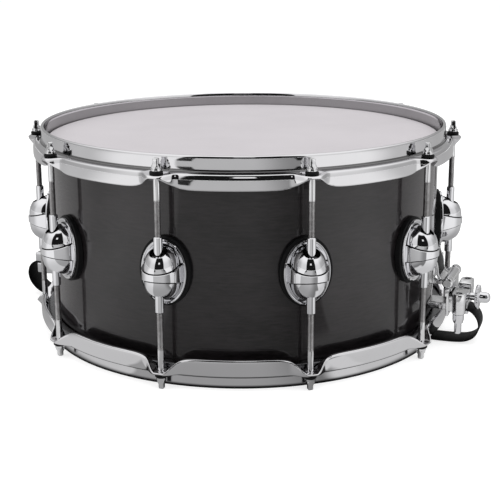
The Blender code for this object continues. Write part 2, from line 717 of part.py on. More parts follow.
def make_lever():
    """A cranked handle on a barrel. Its origin is on the pin's axis."""
    handle = [(-0.0010, -0.0010), (-0.0050, -0.0008), (-0.0082, 0.0010), (-0.0103, 0.0050),
              (-0.0109, 0.0100), (-0.0118, 0.0140), (-0.0136, 0.0185), (-0.0146, 0.0225)]
    lever = ribbon("strainer_lever", handle, 0.0022, LEVER_WIDTH, CHROME, steps=1)
    barrel = cylinder("lever_barrel", (0, 0, 0), LEVER_BARREL, LEVER_WIDTH, "Y", 12, group=HELPERS)
    hole = cylinder("lever_drill", (0, 0, 0), PIN_HOLE, 0.0400, "Y", 8, group=HELPERS)
    for piece in (lever, barrel, hole):
        piece.location = LEVER_PIVOT
    combine(lever, "UNION", barrel)
    combine(lever, "DIFFERENCE", hole)


def make_lever_pin():
    head, shank, half = 0.0042, PIN_RADIUS, EAR_OUTER + 0.0018
    under_head = EAR_OUTER + GAP
    profile = [(0.0, half), (head, half), (head, under_head), (shank, under_head - 0.0001),
               (shank, 0.0001 - under_head), (head, -under_head), (head, -half), (0.0, -half)]
    pin = turned("lever_pin", profile, ROD_STEEL, steps=8, closed=False)
    pin.location = LEVER_PIVOT
    pin.rotation_euler.x = math.pi / 2


# ---------------------------------------------------------------- butt plate
def make_butt():
    """Back plate with the upper jaw. The clamp plate under it is the lower jaw."""
    base = box("butt_base", (-BASE_FACE, -0.0210, 0.0300), (-0.1700, 0.0210, 0.0560), CHROME,
               round_edge=0.0012)
    jaw = box("butt_jaw", (-0.2190, -0.0150, BUTT_LEVEL + 0.0008), (-0.1845, 0.0150, 0.0455),
              group=HELPERS, round_edge=0.0015)
    combine(base, "UNION", jaw)
    combine(base, "DIFFERENCE", against_shell("butt_back_cutter"))
    box("butt_clamp_plate", (-0.2175, -0.0145, 0.0245), (-0.1980, 0.0145, BUTT_LEVEL - 0.0008),
        CHROME, round_edge=0.0012)


def main():
    make_shell()
    make_vent_grommet()
    for side, end, film in ((1, "batter", COATED_FILM), (-1, "snare_side", CLEAR_FILM)):
        make_head(f"{end}_head", side, film)
        make_flesh_hoop(f"{end}_flesh_hoop", side)
        make_hoop(f"{end}_hoop", side)
    make_gaskets()
    make_lugs()
    make_tension_rods()
    make_straps()
    make_snare_wires()
    make_strainer_base()
    make_adjusting_screw()
    make_carriage()
    make_knob()
    make_lever()
    make_lever_pin()
    make_butt()


main()
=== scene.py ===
"""Looks of the snare drum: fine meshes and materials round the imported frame, camera, floor and light.

Metres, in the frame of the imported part: +Z up, z = 0 in the lower rim plane, +X through the
strainer and -X through the butt plate. The lugs stand every 36 degrees from 18 degrees.
"""

import math

import bmesh
import bpy
import numpy as np
from mathutils import Matrix, Vector


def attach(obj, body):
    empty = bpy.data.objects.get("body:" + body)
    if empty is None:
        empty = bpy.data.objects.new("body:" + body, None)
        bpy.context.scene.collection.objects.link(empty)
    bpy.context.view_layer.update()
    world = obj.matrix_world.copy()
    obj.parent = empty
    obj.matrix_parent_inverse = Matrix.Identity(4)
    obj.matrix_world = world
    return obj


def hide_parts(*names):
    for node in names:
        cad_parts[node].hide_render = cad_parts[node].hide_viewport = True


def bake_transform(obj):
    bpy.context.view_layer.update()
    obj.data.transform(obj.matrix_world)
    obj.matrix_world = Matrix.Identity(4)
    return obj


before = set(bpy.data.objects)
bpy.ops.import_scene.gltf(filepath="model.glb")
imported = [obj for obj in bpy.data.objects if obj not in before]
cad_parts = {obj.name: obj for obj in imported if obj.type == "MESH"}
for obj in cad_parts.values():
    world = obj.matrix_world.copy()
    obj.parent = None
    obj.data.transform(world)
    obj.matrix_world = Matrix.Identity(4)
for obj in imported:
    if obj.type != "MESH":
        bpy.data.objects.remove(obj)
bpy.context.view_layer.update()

# ---------------- dimensions shared with the frame
GAP = 0.0003
HEIGHT = 0.188
MID = HEIGHT / 2
SIDES = ((1, "batter"), (-1, "snare_side"))
LUG_COUNT = 10
LUG_PITCH = 2 * math.pi / LUG_COUNT
ROD_CIRCLE = 0.192
SHELL_RADIUS = 0.1775
SHELL_WALL = 0.006
SHELL_END = 0.0115
SHELL_EDGE = 0.0045
VENT_ANGLE = math.radians(108)
VENT_RADIUS = 0.006
FILM = 0.0005
FILM_DEPTH = 0.0107
COLLAR_RADIUS = 0.1794
FLESH_INNER = 0.1781
FLESH_OUTER = 0.1858
FLESH_WALL = 0.0006
FLESH_DEPTH = 0.0148
FLESH_HEIGHT = 0.0054
HOOK_DEPTH = 0.0038
HOOK_REACH = 0.0035
RIM_INNER = 0.1802
RIM_CREST = 0.0014             # bead of the upper rim above the rim plane
LOW_SKIRT = 0.0020             # how much deeper the lower hoop's skirt is
RIM_OUTER = 0.1838
SKIRT_INNER = 0.1868
SKIRT_OUTER = 0.1910
HOOP_DEPTH = 0.0250
HOOP_CURVE = 3                 # points that the hoop's spline makes for each given one
INSIDE_PART = 2.3              # given points up to here are the inside of the rim
COVE_PART = (10.7, 12.7)       # given points between these are the cove
LEDGE_DEPTH = FLESH_DEPTH - GAP
COVE_DEPTH = 0.0104
SHOULDER_DEPTH = 0.0121
EAR_TOP = 0.0130
EAR_BOTTOM = 0.0156
EAR_REACH = 0.1992
EAR_FLAT = 0.0055
EAR_SWEEP = 0.0075
EAR_TAB_FLAT = 0.0035
EAR_TAB = 0.0160
EAR_HOLE = 0.0031
GATE_WIDTH = 0.0340
GATE_DEPTH = 0.0100
ROD_SHANK = 0.00265
ROD_HEAD_TOP = 0.0002
ROD_COLLAR = 0.0043
ROD_COLLAR_TOP = 0.0078
ROD_COLLAR_FOOT = 0.0102
ROD_SHANK_END = 0.0330
ROD_TIP = 0.0760
ROD_SIDES = 48
ROD_NECK = 0.0022              # half the width of the rod's square head
THREAD_PITCH = 0.00106
THREAD_CREST = 0.0026
THREAD_ROOT = 0.0021
WASHER_DEPTH = 0.01162         # middle of the washer, between ear and collar
WASHER_THICK = 0.0025
WASHER_RADIUS = 0.0053
WASHER_BORE = 0.0029
GASKET_FACE = 0.1813
GASKET_SIZE = (0.0220, 0.0286)
LUG_FACE = GASKET_FACE + GAP
LUG_LEVEL = MID + 0.0010
BELT_MIDDLE = 0.0028
BELT_SPREAD = 0.0044
SLEEVE_RADIUS = 0.0036
SLEEVE_END = 0.0309
STRAP_WIDTH = 0.0250
STRAP_THICK = 0.0010
WIRE_COUNT = 20
WIRE_PITCH = 0.0021
WIRE_LEVEL = 0.0092
WIRE_PLATE = (0.1500, 0.1640)
POST_X = 0.2074
POST_Y = 0.0232
POST_RADIUS = 0.0059
POST_TOP = 0.0502
KEY_HOLE = 0.0028              # radii of the bores in the strainer's base
PIN_HOLE = 0.0021
SCREW_HOLE = 0.0031
PLATE_BACK = 0.1700            # inside the shell, which then cuts the plate off
LEVER_PIVOT = Vector((0.1967, 0.0, 0.0580))
KNOB_LEVEL = 0.0412
KNOB_START = 0.2030            # inner end of the knob's shaft
FRAME_FACE = 0.1990
JAW_LEVEL = 0.0320
BUTT_LEVEL = 0.0355

FRONT = math.radians(-69.3)      # azimuth of the middle of the studio's dark side


# ---------------- node helpers
class Nodes:
    """Short calls for building a node tree."""

    def __init__(self, tree):
        self.tree = tree

    def add(self, kind, settings=None, **inputs):
        node = self.tree.nodes.new(kind)
        for key, value in (settings or {}).items():
            setattr(node, key, value)
        return self.fill(node, **inputs)

    def fill(self, node, **inputs):
        """Feeds a node's sockets by name, with _ for each space."""
        for key, value in inputs.items():
            self.feed(node.inputs[key.replace("_", " ")], value)
        return node

    def feed(self, socket, value):
        if isinstance(value, bpy.types.NodeSocket):
            self.tree.links.new(value, socket)
        elif isinstance(value, bpy.types.Node):
            self.tree.links.new(value.outputs[0], socket)
        else:
            socket.default_value = value

    def in_order(self, kind, settings, *values):
        """A node whose first sockets are fed in order: its first output."""
        node = self.add(kind, settings)
        for socket, value in zip(node.inputs, values):
            self.feed(socket, value)
        return node.outputs[0]

    def math(self, operation, *values):
        return self.in_order("ShaderNodeMath", {"operation": operation}, *values)

    def times(self, first, *others):
        for other in others:
            first = self.math("MULTIPLY", first, other)
        return first

    def plus(self, first, second):
        return self.math("ADD", first, second)

    def between(self, factor, first, second):
        """first where the factor is 0, second where it is 1."""
        return self.plus(self.times(first, self.math("SUBTRACT", 1.0, factor)), self.times(second, factor))

    def ramp(self, value, low, high, at_low=0.0, at_high=1.0):
        """at_low below low, at_high above high, smooth between."""
        settings = {"interpolation_type": "SMOOTHSTEP"}
        return self.in_order("ShaderNodeMapRange", settings, value, low, high, at_low, at_high)

    def noise(self, vector, scale, detail=3.0, roughness=0.55):
        return self.add("ShaderNodeTexNoise", Vector=vector, Scale=scale, Detail=detail,
                        Roughness=roughness).outputs["Fac"]

    def colours(self, factor, first, second):
        node = self.add("ShaderNodeMix", {"data_type": "RGBA"})
        self.feed(node.inputs[0], factor)
        self.feed(node.inputs[6], (*first, 1.0))
        self.feed(node.inputs[7], (*second, 1.0))
        return node.outputs[2]

    def bump(self, height, distance, strength):
        return self.add("ShaderNodeBump", Height=height, Distance=distance, Strength=strength).outputs[0]

    def scaled(self, vector, scale):
        return self.in_order("ShaderNodeVectorMath", {"operation": "MULTIPLY"}, vector, scale)

    def here(self):
        """The surface point in the object's own coordinates."""
        return self.add("ShaderNodeTexCoord").outputs["Object"]


def material(name):
    """A new material: (material, its node helper, its Principled shader)."""
    made = bpy.data.materials.new(name)
    made.use_nodes = True
    return made, Nodes(made.node_tree), made.node_tree.nodes["Principled BSDF"]


def metal(name, light, dark, roughness, streaks=False):
    """Plated metal with faint handling marks and a slightly uneven polish, or with turning marks."""
    made, nodes, shader = material(name)
    where = nodes.here()
    cloud = nodes.noise(where, 38.0, 4.0)
    marks = nodes.noise(nodes.scaled(where, (1.0, 1.0, 0.35)), 900.0, 2.0)
    wear = nodes.plus(nodes.times(cloud, 0.6), nodes.times(marks, 0.4))
    if streaks:
        wave, strength = nodes.noise(nodes.scaled(where, (9.0, 9.0, 1300.0)), 1.0, 3.0), 0.35
    else:
        wave, strength = nodes.noise(where, 120.0, 2.0), 0.5
    nodes.fill(shader, Metallic=1.0, Base_Color=nodes.colours(cloud, light, dark),
               Roughness=nodes.ramp(wear, 0.35, 0.75, roughness * 0.6, roughness * 1.6),
               Normal=nodes.bump(wave, 0.00002, strength))
    return made


def make_rod_steel():
    """Bright shank and head, and a duller, darker thread below the shank."""
    made, nodes, shader = material("rod_steel")
    where = nodes.here()
    height = nodes.add("ShaderNodeSeparateXYZ", Vector=where).outputs[2]
    thread = nodes.ramp(height, -ROD_SHANK_END - 0.001, -ROD_SHANK_END + 0.001, 1.0, 0.0)
    tone = nodes.times(thread, nodes.ramp(nodes.noise(where, 260.0, 3.0), 0.3, 0.7, 0.65, 1.0))
    nodes.fill(shader, Metallic=1.0, Base_Color=nodes.colours(tone, (0.82, 0.82, 0.83), (0.40, 0.39, 0.39)),
               Roughness=nodes.ramp(thread, 0.0, 1.0, 0.07, 0.34),
               Normal=nodes.bump(nodes.noise(where, 1800.0, 2.0), 0.00002, 0.4))
    return made


def make_lacquer():
    """Clear gloss over charcoal-stained veneer, whose grain runs round the shell."""
    made, nodes, shader = material("shell_lacquer")
    where = nodes.here()
    drift = nodes.noise(nodes.scaled(where, (1.0, 1.0, 2.0)), 14.0, 4.0)
    grain = nodes.noise(nodes.scaled(where, (75.0, 75.0, 560.0)), 1.0, 5.0, 0.65)
    pores = nodes.noise(nodes.scaled(where, (220.0, 220.0, 1900.0)), 1.0, 3.0, 0.6)
    figure = nodes.plus(nodes.times(grain, 0.45), nodes.times(pores, 0.20))
    tone = nodes.ramp(nodes.plus(figure, nodes.times(drift, 0.35)), 0.36, 0.66)
    nodes.fill(shader, Base_Color=nodes.colours(tone, (0.0010, 0.0009, 0.0009), (0.0115, 0.0098, 0.0107)),
               Normal=nodes.bump(figure, 0.00002, 0.25), Roughness=nodes.ramp(pores, 0.3, 0.7, 0.30, 0.42),
               Specular_IOR_Level=0.25, Coat_Weight=1.0, Coat_Roughness=0.03, Coat_IOR=1.43,
               Coat_Tint=nodes.colours(drift, (1.0, 0.97, 0.98), (1.0, 0.95, 0.97)))
    return made


def make_coated_film():
    """Sprayed coating: a fine even grit, a little greyer where it is thin."""
    made, nodes, shader = material("coated_film")
    where = nodes.here()
    grit = nodes.noise(where, 2200.0, 3.0, 0.7)
    tone = nodes.plus(nodes.times(grit, 0.5), nodes.times(nodes.noise(where, 14.0, 3.0), 0.5))
    colour = nodes.colours(nodes.ramp(tone, 0.3, 0.7), (0.455, 0.433, 0.451), (0.502, 0.478, 0.497))
    nodes.fill(shader, Base_Color=colour, Roughness=nodes.ramp(grit, 0.3, 0.7, 0.50, 0.72),
               Normal=nodes.bump(grit, 0.00006, 0.5), Specular_IOR_Level=0.3)
    return made


def grained(name, scale, detail, colours, roughness, bump=0, slot=None, **more):
    """A material whose colour and roughness vary between two values each with a fine grain."""
    made, nodes, shader = material(name)
    grain = nodes.noise(nodes.here(), scale, detail)
    nodes.fill(shader, Base_Color=nodes.colours(grain, *colours),
               Roughness=nodes.ramp(grain, 0.3, 0.7, *roughness), **more)
    if bump:
        nodes.fill(shader, Normal=nodes.bump(grain, bump, 0.5))
    return made


def make_ribbon_cloth():
    """Woven tape: a rib across the band and fine warp threads along it."""
    made, nodes, shader = material("strap_ribbon")
    along = nodes.add("ShaderNodeUVMap", {"uv_map": "tape"}).outputs[0]
    ribs = nodes.add("ShaderNodeTexWave", {"bands_direction": "Y"}, Vector=along, Scale=320.0,
                     Distortion=0.4, Detail=2.0)
    warp = nodes.add("ShaderNodeTexWave", {"bands_direction": "X"}, Vector=along, Scale=520.0,
                     Distortion=0.3, Detail=1.0)
    weave = nodes.times(ribs.outputs["Fac"], nodes.ramp(warp.outputs["Fac"], 0.0, 1.0, 0.6, 1.0))
    nodes.fill(shader, Base_Color=nodes.colours(weave, (0.0006, 0.0006, 0.0006), (0.0035, 0.0035, 0.0038)),
               Roughness=nodes.ramp(weave, 0.0, 1.0, 0.62, 0.40), Normal=nodes.bump(weave, 0.00010, 0.8),
               Specular_IOR_Level=0.12, Sheen_Weight=0.01)
    return made


CHROME = metal("chrome", (0.83, 0.83, 0.85), (0.78, 0.78, 0.80), 0.045)
HOOP_CHROME = metal("hoop_chrome", (0.80, 0.795, 0.81), (0.74, 0.735, 0.75), 0.06, True)
# Painted shade: darker copies of the hoop's chrome for the inside of the rim and for the cove
RIM_INSIDE_SHADE_CHROME = metal("rim_inside_painted_shade", (0.40, 0.395, 0.40), (0.34, 0.335, 0.34), 0.12, True)
COVE_SHADE_CHROME = metal("cove_painted_shade", (0.22, 0.218, 0.22), (0.17, 0.168, 0.17), 0.14, True)
SATIN_CHROME = metal("satin_chrome", (0.90, 0.90, 0.91), (0.80, 0.80, 0.81), 0.15)
# Painted shade: a dark copy of chrome put into the lugs' grooves, pockets and moat
GROOVE_SHADE_CHROME = grained("chrome_painted_shade", 700.0, 3.0, ((0.010, 0.010, 0.011), (0.055, 0.054, 0.055)), (0.22, 0.45),
                 slot="chrome", Metallic=1.0)     # painted shade: dark metal in grooves and pockets
# Painted shade: the flesh hoop's metal made dark, as it lies in the hoop's shadow
SHADED_ALUMINIUM = metal("aluminium", (0.13, 0.13, 0.135), (0.09, 0.09, 0.095), 0.28)
WIRE_STEEL = metal("snare_wire", (0.74, 0.74, 0.75), (0.62, 0.62, 0.63), 0.18)
ROD_STEEL = make_rod_steel()
LACQUER = make_lacquer()
COATED_FILM = make_coated_film()
CLEAR_FILM = grained("clear_film", 45.0, 4.0, ((0.62, 0.65, 0.68), (0.76, 0.78, 0.80)), (0.12, 0.30),
                     Transmission_Weight=0.45, IOR=1.2)
RUBBER = grained("gasket_rubber", 1500.0, 3.0, ((0.0025, 0.0025, 0.0028), (0.0070, 0.0070, 0.0074)),
                 (0.30, 0.50), bump=0.00005, Specular_IOR_Level=0.12)
RIBBON = make_ribbon_cloth()


# ---------------- mesh helpers
def skin(bm, rows, closed):
    """Faces between equal rows of vertices. A row of one vertex closes an end."""
    pairs = list(zip(rows, rows[1:]))
    if closed:
        pairs.append((rows[-1], rows[0]))
    for row, following in pairs:
        count = max(len(row), len(following))
        for i in range(count):
            k = (i + 1) % count
            if len(row) == 1:
                bm.faces.new((row[0], following[k], following[i]))
            elif len(following) == 1:
                bm.faces.new((row[i], row[k], following[0]))
            else:
                bm.faces.new((row[i], row[k], following[k], following[i]))


def loft(bm, rings, loop=False):
    """Skins a list of equal rings of points. The ends get caps, or with loop they meet."""
    rows = [[bm.verts.new(point) for point in ring] for ring in rings]
    skin(bm, rows, loop)
    if not loop:
        for row in (rows[0], rows[-1]):
            bm.faces.new(row)
    return rows


def turned(bm, profile, place=Matrix.Identity(4), steps=48, closed=False):
    """Turns (radius, z) points about Z. Ends on the axis close by themselves."""
    rows = []
    for radius, z in profile:
        turns = [2 * math.pi * i / steps for i in range(steps if radius else 1)]
        ring = [Vector((radius * math.cos(turn), radius * math.sin(turn), z)) for turn in turns]
        rows.append([bm.verts.new(place @ point) for point in ring])
    skin(bm, rows, closed)


def softened(points, radii, steps=3, closed=False):
    """A polyline with each inner corner, or every corner if closed, rounded by its own radius."""
    points = [Vector(p) for p in points]
    count = len(points)
    result = []
    for i, (point, size) in enumerate(zip(points, radii)):
        if size <= 0 or (not closed and i in (0, count - 1)):
            result.append(point)
            continue
        before, after = points[i - 1] - point, points[(i + 1) % count] - point
        start = point + before.normalized() * min(size, before.length * 0.48)
        end = point + after.normalized() * min(size, after.length * 0.48)
        for k in range(steps + 1):
            t = k / steps
            result.append(start * (1 - t) ** 2 + point * (2 * t * (1 - t)) + end * t * t)
    return result


def block(bm, low, high, round_edge, segments=3):
    """A block between two corners with rounded edges."""
    low, high = Vector(low), Vector(high)
    own = bmesh.new()
    size = Matrix.Diagonal((*(high - low), 1.0))
    bmesh.ops.create_cube(own, size=1.0, matrix=Matrix.Translation((low + high) / 2) @ size)
    bmesh.ops.bevel(own, geom=own.edges, offset=round_edge, segments=segments, profile=0.6, affect="EDGES")
    add_into(bm, own)


def add_into(bm, own, place=None):
    """Copies a small mesh into another one and frees it."""
    if place:
        bmesh.ops.transform(own, matrix=place, verts=own.verts)
    bmesh.ops.recalc_face_normals(own, faces=own.faces)
    mesh = bpy.data.meshes.new("part")
    own.to_mesh(mesh)
    own.free()
    bm.from_mesh(mesh)
    bpy.data.meshes.remove(mesh)


def axis_place(centre, axis):
    """Puts local +Z along an axis at a centre."""
    return Matrix.Translation(centre) @ Vector(axis).to_track_quat("Z", "Y").to_matrix().to_4x4()


def round_bar(bm, centre, axis, radius, length, edge=0.0004, steps=32, hollow=0.0):
    """A round bar, or a sleeve with a bore, whose middle is at centre."""
    half = length / 2
    outside = [(radius - edge, -half), (radius, -half + edge), (radius, half - edge), (radius - edge, half)]
    own = bmesh.new()
    if hollow:
        inside = [(hollow, half), (hollow, -half)]
        turned(own, outside + inside, steps=steps, closed=True)
    else:
        turned(own, [(0, -half), *outside, (0, half)], steps=steps)
    add_into(bm, own, axis_place(centre, axis))


def smooth(mesh, sharp):
    """Smooth shading that keeps the edges sharper than an angle in degrees."""
    mesh.shade_smooth()
    mesh.set_sharp_from_angle(angle=math.radians(sharp))
    return mesh


def mesh_from(name, bm, sharp=35):
    bmesh.ops.recalc_face_normals(bm, faces=bm.faces)
    mesh = bpy.data.meshes.new(name)
    bm.to_mesh(mesh)
    bm.free()
    return smooth(mesh, sharp)


def made_by(name, build, *args, **kwargs):
    """The mesh of one call that builds into a bmesh."""
    bm = bmesh.new()
    build(bm, *args, **kwargs)
    return mesh_from(name, bm)


def linked(name, data):
    """A new object in the scene."""
    obj = bpy.data.objects.new(name, data)
    bpy.context.scene.collection.objects.link(obj)
    return obj


def put(name, made, look, body="drum", place=None):
    """Makes a piece on a body. It stands for the CAD node of the same name, if there is one."""
    mesh = mesh_from(name, made) if isinstance(made, bmesh.types.BMesh) else made
    obj = linked(name, mesh)
    if look.name not in [m.name for m in mesh.materials if m]:
        mesh.materials.append(look)
    if place:
        obj.matrix_world = place
    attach(obj, body)
    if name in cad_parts:
        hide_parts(name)
    return obj


def put_at_lugs(kind, mesh, look):
    """A numbered piece of the same mesh at each lug."""
    for index in range(LUG_COUNT):
        put(f"{kind}_{index + 1:02d}", mesh, look, place=lug_place(index))


def cut(mesh, cutter, operation="DIFFERENCE"):
    """A new mesh: mesh with the cutter mesh cut from it, or joined to it."""
    objects = [linked("work", data) for data in (mesh, cutter)]
    boolean = objects[0].modifiers.new("cut", "BOOLEAN")
    boolean.operation = operation
    boolean.object = objects[1]
    boolean.solver = "EXACT"
    graph = bpy.context.evaluated_depsgraph_get()
    made = bpy.data.meshes.new_from_object(objects[0].evaluated_get(graph))
    made.name = mesh.name
    for obj in objects:
        bpy.data.objects.remove(obj)
    return made


def smoothstep(value):
    value = min(1.0, max(0.0, value))
    return value * value * (3 - 2 * value)


def at_side(depth, side):
    """Height of a point depth inside the upper (side 1) or the lower (side -1) rim plane."""
    return MID + side * (MID - depth)


def lug_angle(index):
    return (index + 0.5) * LUG_PITCH


def lug_place(index, z=LUG_LEVEL):
    return Matrix.Translation((0, 0, z)) @ Matrix.Rotation(lug_angle(index), 4, "Z")


def on_rod(index, depth, side):
    """A point on a rod's axis, depth inside the rim plane."""
    return lug_place(index, at_side(depth, side)) @ Vector((ROD_CIRCLE, 0, 0))


def spline(points, steps):
    """A closed cubic B-spline near the points."""
    points = [np.array(p) for p in points]
    padded = [points[-1], *points, points[0], points[1]]
    result = []
    for a, b, c, d in zip(padded, padded[1:], padded[2:], padded[3:]):
        for i in range(steps):
            t = i / steps
            result.append(((1 - t) ** 3 * a + (3 * t**3 - 6 * t * t + 4) * b
                           + (-3 * t**3 + 3 * t * t + 3 * t + 1) * c + t**3 * d) / 6)
    return result


def through(points, steps):
    """A Catmull-Rom curve through the points."""
    points = [Vector(p) for p in points]
    padded = [2 * points[0] - points[1], *points, 2 * points[-1] - points[-2]]
    path = []
    for a, b, c, d in zip(padded, padded[1:], padded[2:], padded[3:]):
        for i in range(steps):
            t = i / steps
            spread = (2 * a - 5 * b + 4 * c - d) * t * t + (3 * b - a - 3 * c + d) * t**3
            path.append((2 * b + (c - a) * t + spread) / 2)
    return [*path, points[-1]]


# ---------------- shell, heads and hoops
def make_shell():
    """The shell with its bearing edges and vent hole, and the grommet in the hole."""
    outer, inner = SHELL_RADIUS, SHELL_RADIUS - SHELL_WALL
    top, foot = at_side(SHELL_END, 1), at_side(SHELL_END, -1)
    crest = outer - 0.0012
    profile = [(crest, top), (outer, top - 0.003), (outer, top - 0.006), (outer, foot + 0.006),
               (outer, foot + 0.003), (crest, foot), (inner, foot + SHELL_EDGE), (inner, top - SHELL_EDGE)]
    radii = [0.0006, 0.002, 0, 0, 0.002, 0.0006, 0.0012, 0.0012]
    bm = bmesh.new()
    turned(bm, [tuple(p) for p in softened(profile, radii, closed=True)], steps=288, closed=True)
    mesh = mesh_from("shell", bm)
    outward = Vector((math.cos(VENT_ANGLE), math.sin(VENT_ANGLE), 0))
    vent = outward * (outer - SHELL_WALL / 2) + Vector((0, 0, MID))
    mesh = cut(mesh, made_by("drill", round_bar, vent, outward, VENT_RADIUS, 0.03))
    put("shell", mesh, LACQUER)

    bm = bmesh.new()
    tube, bore, flange = VENT_RADIUS - GAP, VENT_RADIUS - 0.0013, 0.0085
    face, back = 0.0012, -SHELL_WALL - 0.0012
    profile = [(bore, face + 0.0008), (bore + 0.0008, face + 0.0013), (flange - 0.0012, face + 0.0008),
               (flange, face), (tube, face), (tube, back), (flange, back), (flange, back - 0.0006),
               (bore, back - 0.001)]
    turned(bm, profile, axis_place(outer * outward + Vector((0, 0, MID)), outward), 40, True)
    put("vent_grommet", bm, CHROME)


def side_profile(points, side):
    return [(p[0], at_side(p[1], side)) for p in points]


def make_head(name, side, look):
    """The film, its rounded collar and the hooked edge inside the flesh hoop."""
    foot = FLESH_DEPTH + HOOK_DEPTH
    under = FILM_DEPTH + FILM
    flat = [0.02, 0.06, 0.10, 0.14, 0.165]
    top = [(0.0, FILM_DEPTH)] + [(r, FILM_DEPTH) for r in flat]
    wall = COLLAR_RADIUS
    shoulder = softened([(0.174, FILM_DEPTH), (wall - 0.0014, FILM_DEPTH + 0.0001),
                         (wall, FILM_DEPTH + 0.0016), (wall, foot - FILM)], [0, 0.0016, 0.0012, 0], 5)
    inner = softened([(wall - FILM, foot), (wall - FILM, under + 0.0014), (wall - 0.0020, under),
                      (0.172, under)], [0, 0.001, 0.0012, 0], 5)
    hook = [(wall + HOOK_REACH, foot - FILM), (wall + HOOK_REACH, foot)]
    profile = [*top, *shoulder, *hook, *inner, (0.0, under)]
    bm = bmesh.new()
    turned(bm, side_profile(profile, side), steps=192)
    put(name, bm, look)


def make_flesh_hoop(name, side):
    """The channel-section ring that carries the head's edge, its metal painted dark as painted shade under
    the hoop.
    """
    top, foot = FLESH_DEPTH, FLESH_DEPTH + FLESH_HEIGHT
    floor, outer, inner = foot - FLESH_WALL, FLESH_OUTER - FLESH_WALL, FLESH_INNER + 0.0005
    outline = [(outer, top), (FLESH_OUTER, top), (FLESH_OUTER, foot), (FLESH_INNER, foot),
               (FLESH_INNER, top), (inner, top), (inner, floor), (outer, floor)]
    radii = [0.0002, 0.0002, 0.0014, 0.0014, 0.0002, 0.0002, 0.001, 0.001]
    bm = bmesh.new()
    turned(bm, side_profile(softened(outline, radii, closed=True), side), steps=192, closed=True)
    put(name, bm, SHADED_ALUMINIUM)


def hoop_section(angle, side):
    """Rounded outline of a hoop at one angle: a rim, a cove, and below it the skirt or an ear."""
    from_lug = (angle % LUG_PITCH) - LUG_PITCH / 2
    along = abs(from_lug) * SKIRT_OUTER
    fall = 1 - math.exp(-(max(0.0, along - EAR_FLAT + 0.0015) / (EAR_SWEEP + 0.001)) ** 1.4)
    tab = 1 - smoothstep((along - EAR_TAB_FLAT) / (EAR_TAB - EAR_TAB_FLAT))
    crest = RIM_CREST if side > 0 else 0.0
    deepest = HOOP_DEPTH if side > 0 else HOOP_DEPTH + LOW_SKIRT
    edge = EAR_BOTTOM + fall * (deepest - EAR_BOTTOM)
    out = tab * (EAR_REACH - SKIRT_OUTER)
    low = SHOULDER_DEPTH + tab * (EAR_TOP - SHOULDER_DEPTH)
    tall = edge - low
    wall = edge - LEDGE_DEPTH
    skirt = SKIRT_OUTER + out
    points = [
        (RIM_INNER, LEDGE_DEPTH - 0.0006), (RIM_INNER, 0.0086), (RIM_INNER + 0.0001, 0.0029 - crest),
        (RIM_INNER + 0.0003, 0.0010 - crest), (RIM_INNER + 0.0009, 0.0001 - crest),
        (RIM_OUTER - 0.0018, -crest), (RIM_OUTER - 0.0008, 0.0003 - crest),
        (RIM_OUTER - 0.0002, 0.0011 - crest), (RIM_OUTER, 0.0024 - crest),
        (RIM_OUTER - 0.0001, 0.0040), (RIM_OUTER - 0.0003, 0.0075), (RIM_OUTER - 0.0003, COVE_DEPTH),
        (RIM_OUTER + 0.0003, COVE_DEPTH + 0.0007),
        (RIM_OUTER + 0.0018 + out * 0.1, (COVE_DEPTH + low) / 2 + 0.0003),
        (RIM_OUTER + 0.0040 + out * 0.4, low - 0.0003 * (1 - tab)), (skirt - 0.0021, low - 0.0001),
    ]
    for inset, most, share in ((0.0013, 0.0004, 0.12), (0.0008, 0.0015, 0.28), (0.0004, 0.0027, 0.42),
                               (0.0001, 0.0039, 0.56), (0.0, tall, 0.68)):
        points.append((skirt - inset, low + min(most, share * tall)))
    points += [
        (skirt - 0.0001, edge - min(0.0014, 0.22 * tall)), (skirt - 0.0005, edge - 0.0002),
        (skirt - 0.0016, edge), (SKIRT_INNER + 0.0010, edge), (SKIRT_INNER + 0.0001, edge - 0.06 * wall),
        (SKIRT_INNER, edge - 0.25 * wall), (SKIRT_INNER, LEDGE_DEPTH + 0.25 * wall),
        (SKIRT_INNER - 0.0004, LEDGE_DEPTH), (SKIRT_INNER - 0.0016, LEDGE_DEPTH),
        (RIM_INNER + 0.0012, LEDGE_DEPTH), (RIM_INNER + 0.0002, LEDGE_DEPTH),
    ]
    return [(radius * math.cos(angle), radius * math.sin(angle), at_side(depth, side))
            for radius, depth in spline(points, HOOP_CURVE)]


def make_hoop(name, side):
    """A die-cast hoop. The inside of its rim and its cove are painted darker than the rest, as painted shade.
    """
    steps = 60
    rings = [hoop_section(LUG_PITCH * k / steps, side) for k in range(LUG_COUNT * steps)]
    bm = bmesh.new()
    rows = loft(bm, rings, loop=True)
    place_in_row = {vert: k for row in rows for k, vert in enumerate(row)}
    for face in bm.faces:
        part = max(place_in_row[vert] for vert in face.verts) / HOOP_CURVE
        # the cove and the inside of the rim get the painted shade copies
        face.material_index = 2 if COVE_PART[0] < part <= COVE_PART[1] else int(0 < part <= INSIDE_PART)
    mesh = mesh_from(name, bm, 50)
    for look in (HOOP_CHROME, RIM_INSIDE_SHADE_CHROME, COVE_SHADE_CHROME):
        mesh.materials.append(look)
    cutters = bmesh.new()
    for index in range(LUG_COUNT):
        round_bar(cutters, on_rod(index, EAR_TOP, side), (0, 0, 1), EAR_HOLE, 0.02, steps=24)
    if side < 0:
        for sign in (1, -1):
            near, far = sorted((sign * 0.1700, sign * 0.1900))
            block(cutters, (near, -GATE_WIDTH / 2, -0.004), (far, GATE_WIDTH / 2, GATE_DEPTH), 0.002)
    mesh = cut(mesh, mesh_from("drills", cutters))
    put(name, mesh, HOOP_CHROME)


# ---------------- lugs, rods and washers
def oval_ring(x, half_width, half_height):
    """An upright ellipse, facing +X."""
    turns = [2 * math.pi * i / 64 for i in range(64)]
    return [Vector((x, half_width * math.cos(turn), half_height * math.sin(turn))) for turn in turns]


def on_shell(ring, radius):
    """The ring's points moved along X on to a cylinder about the drum's axis."""
    return [Vector((math.sqrt(radius**2 - p.y**2), p.y, p.z)) for p in ring]


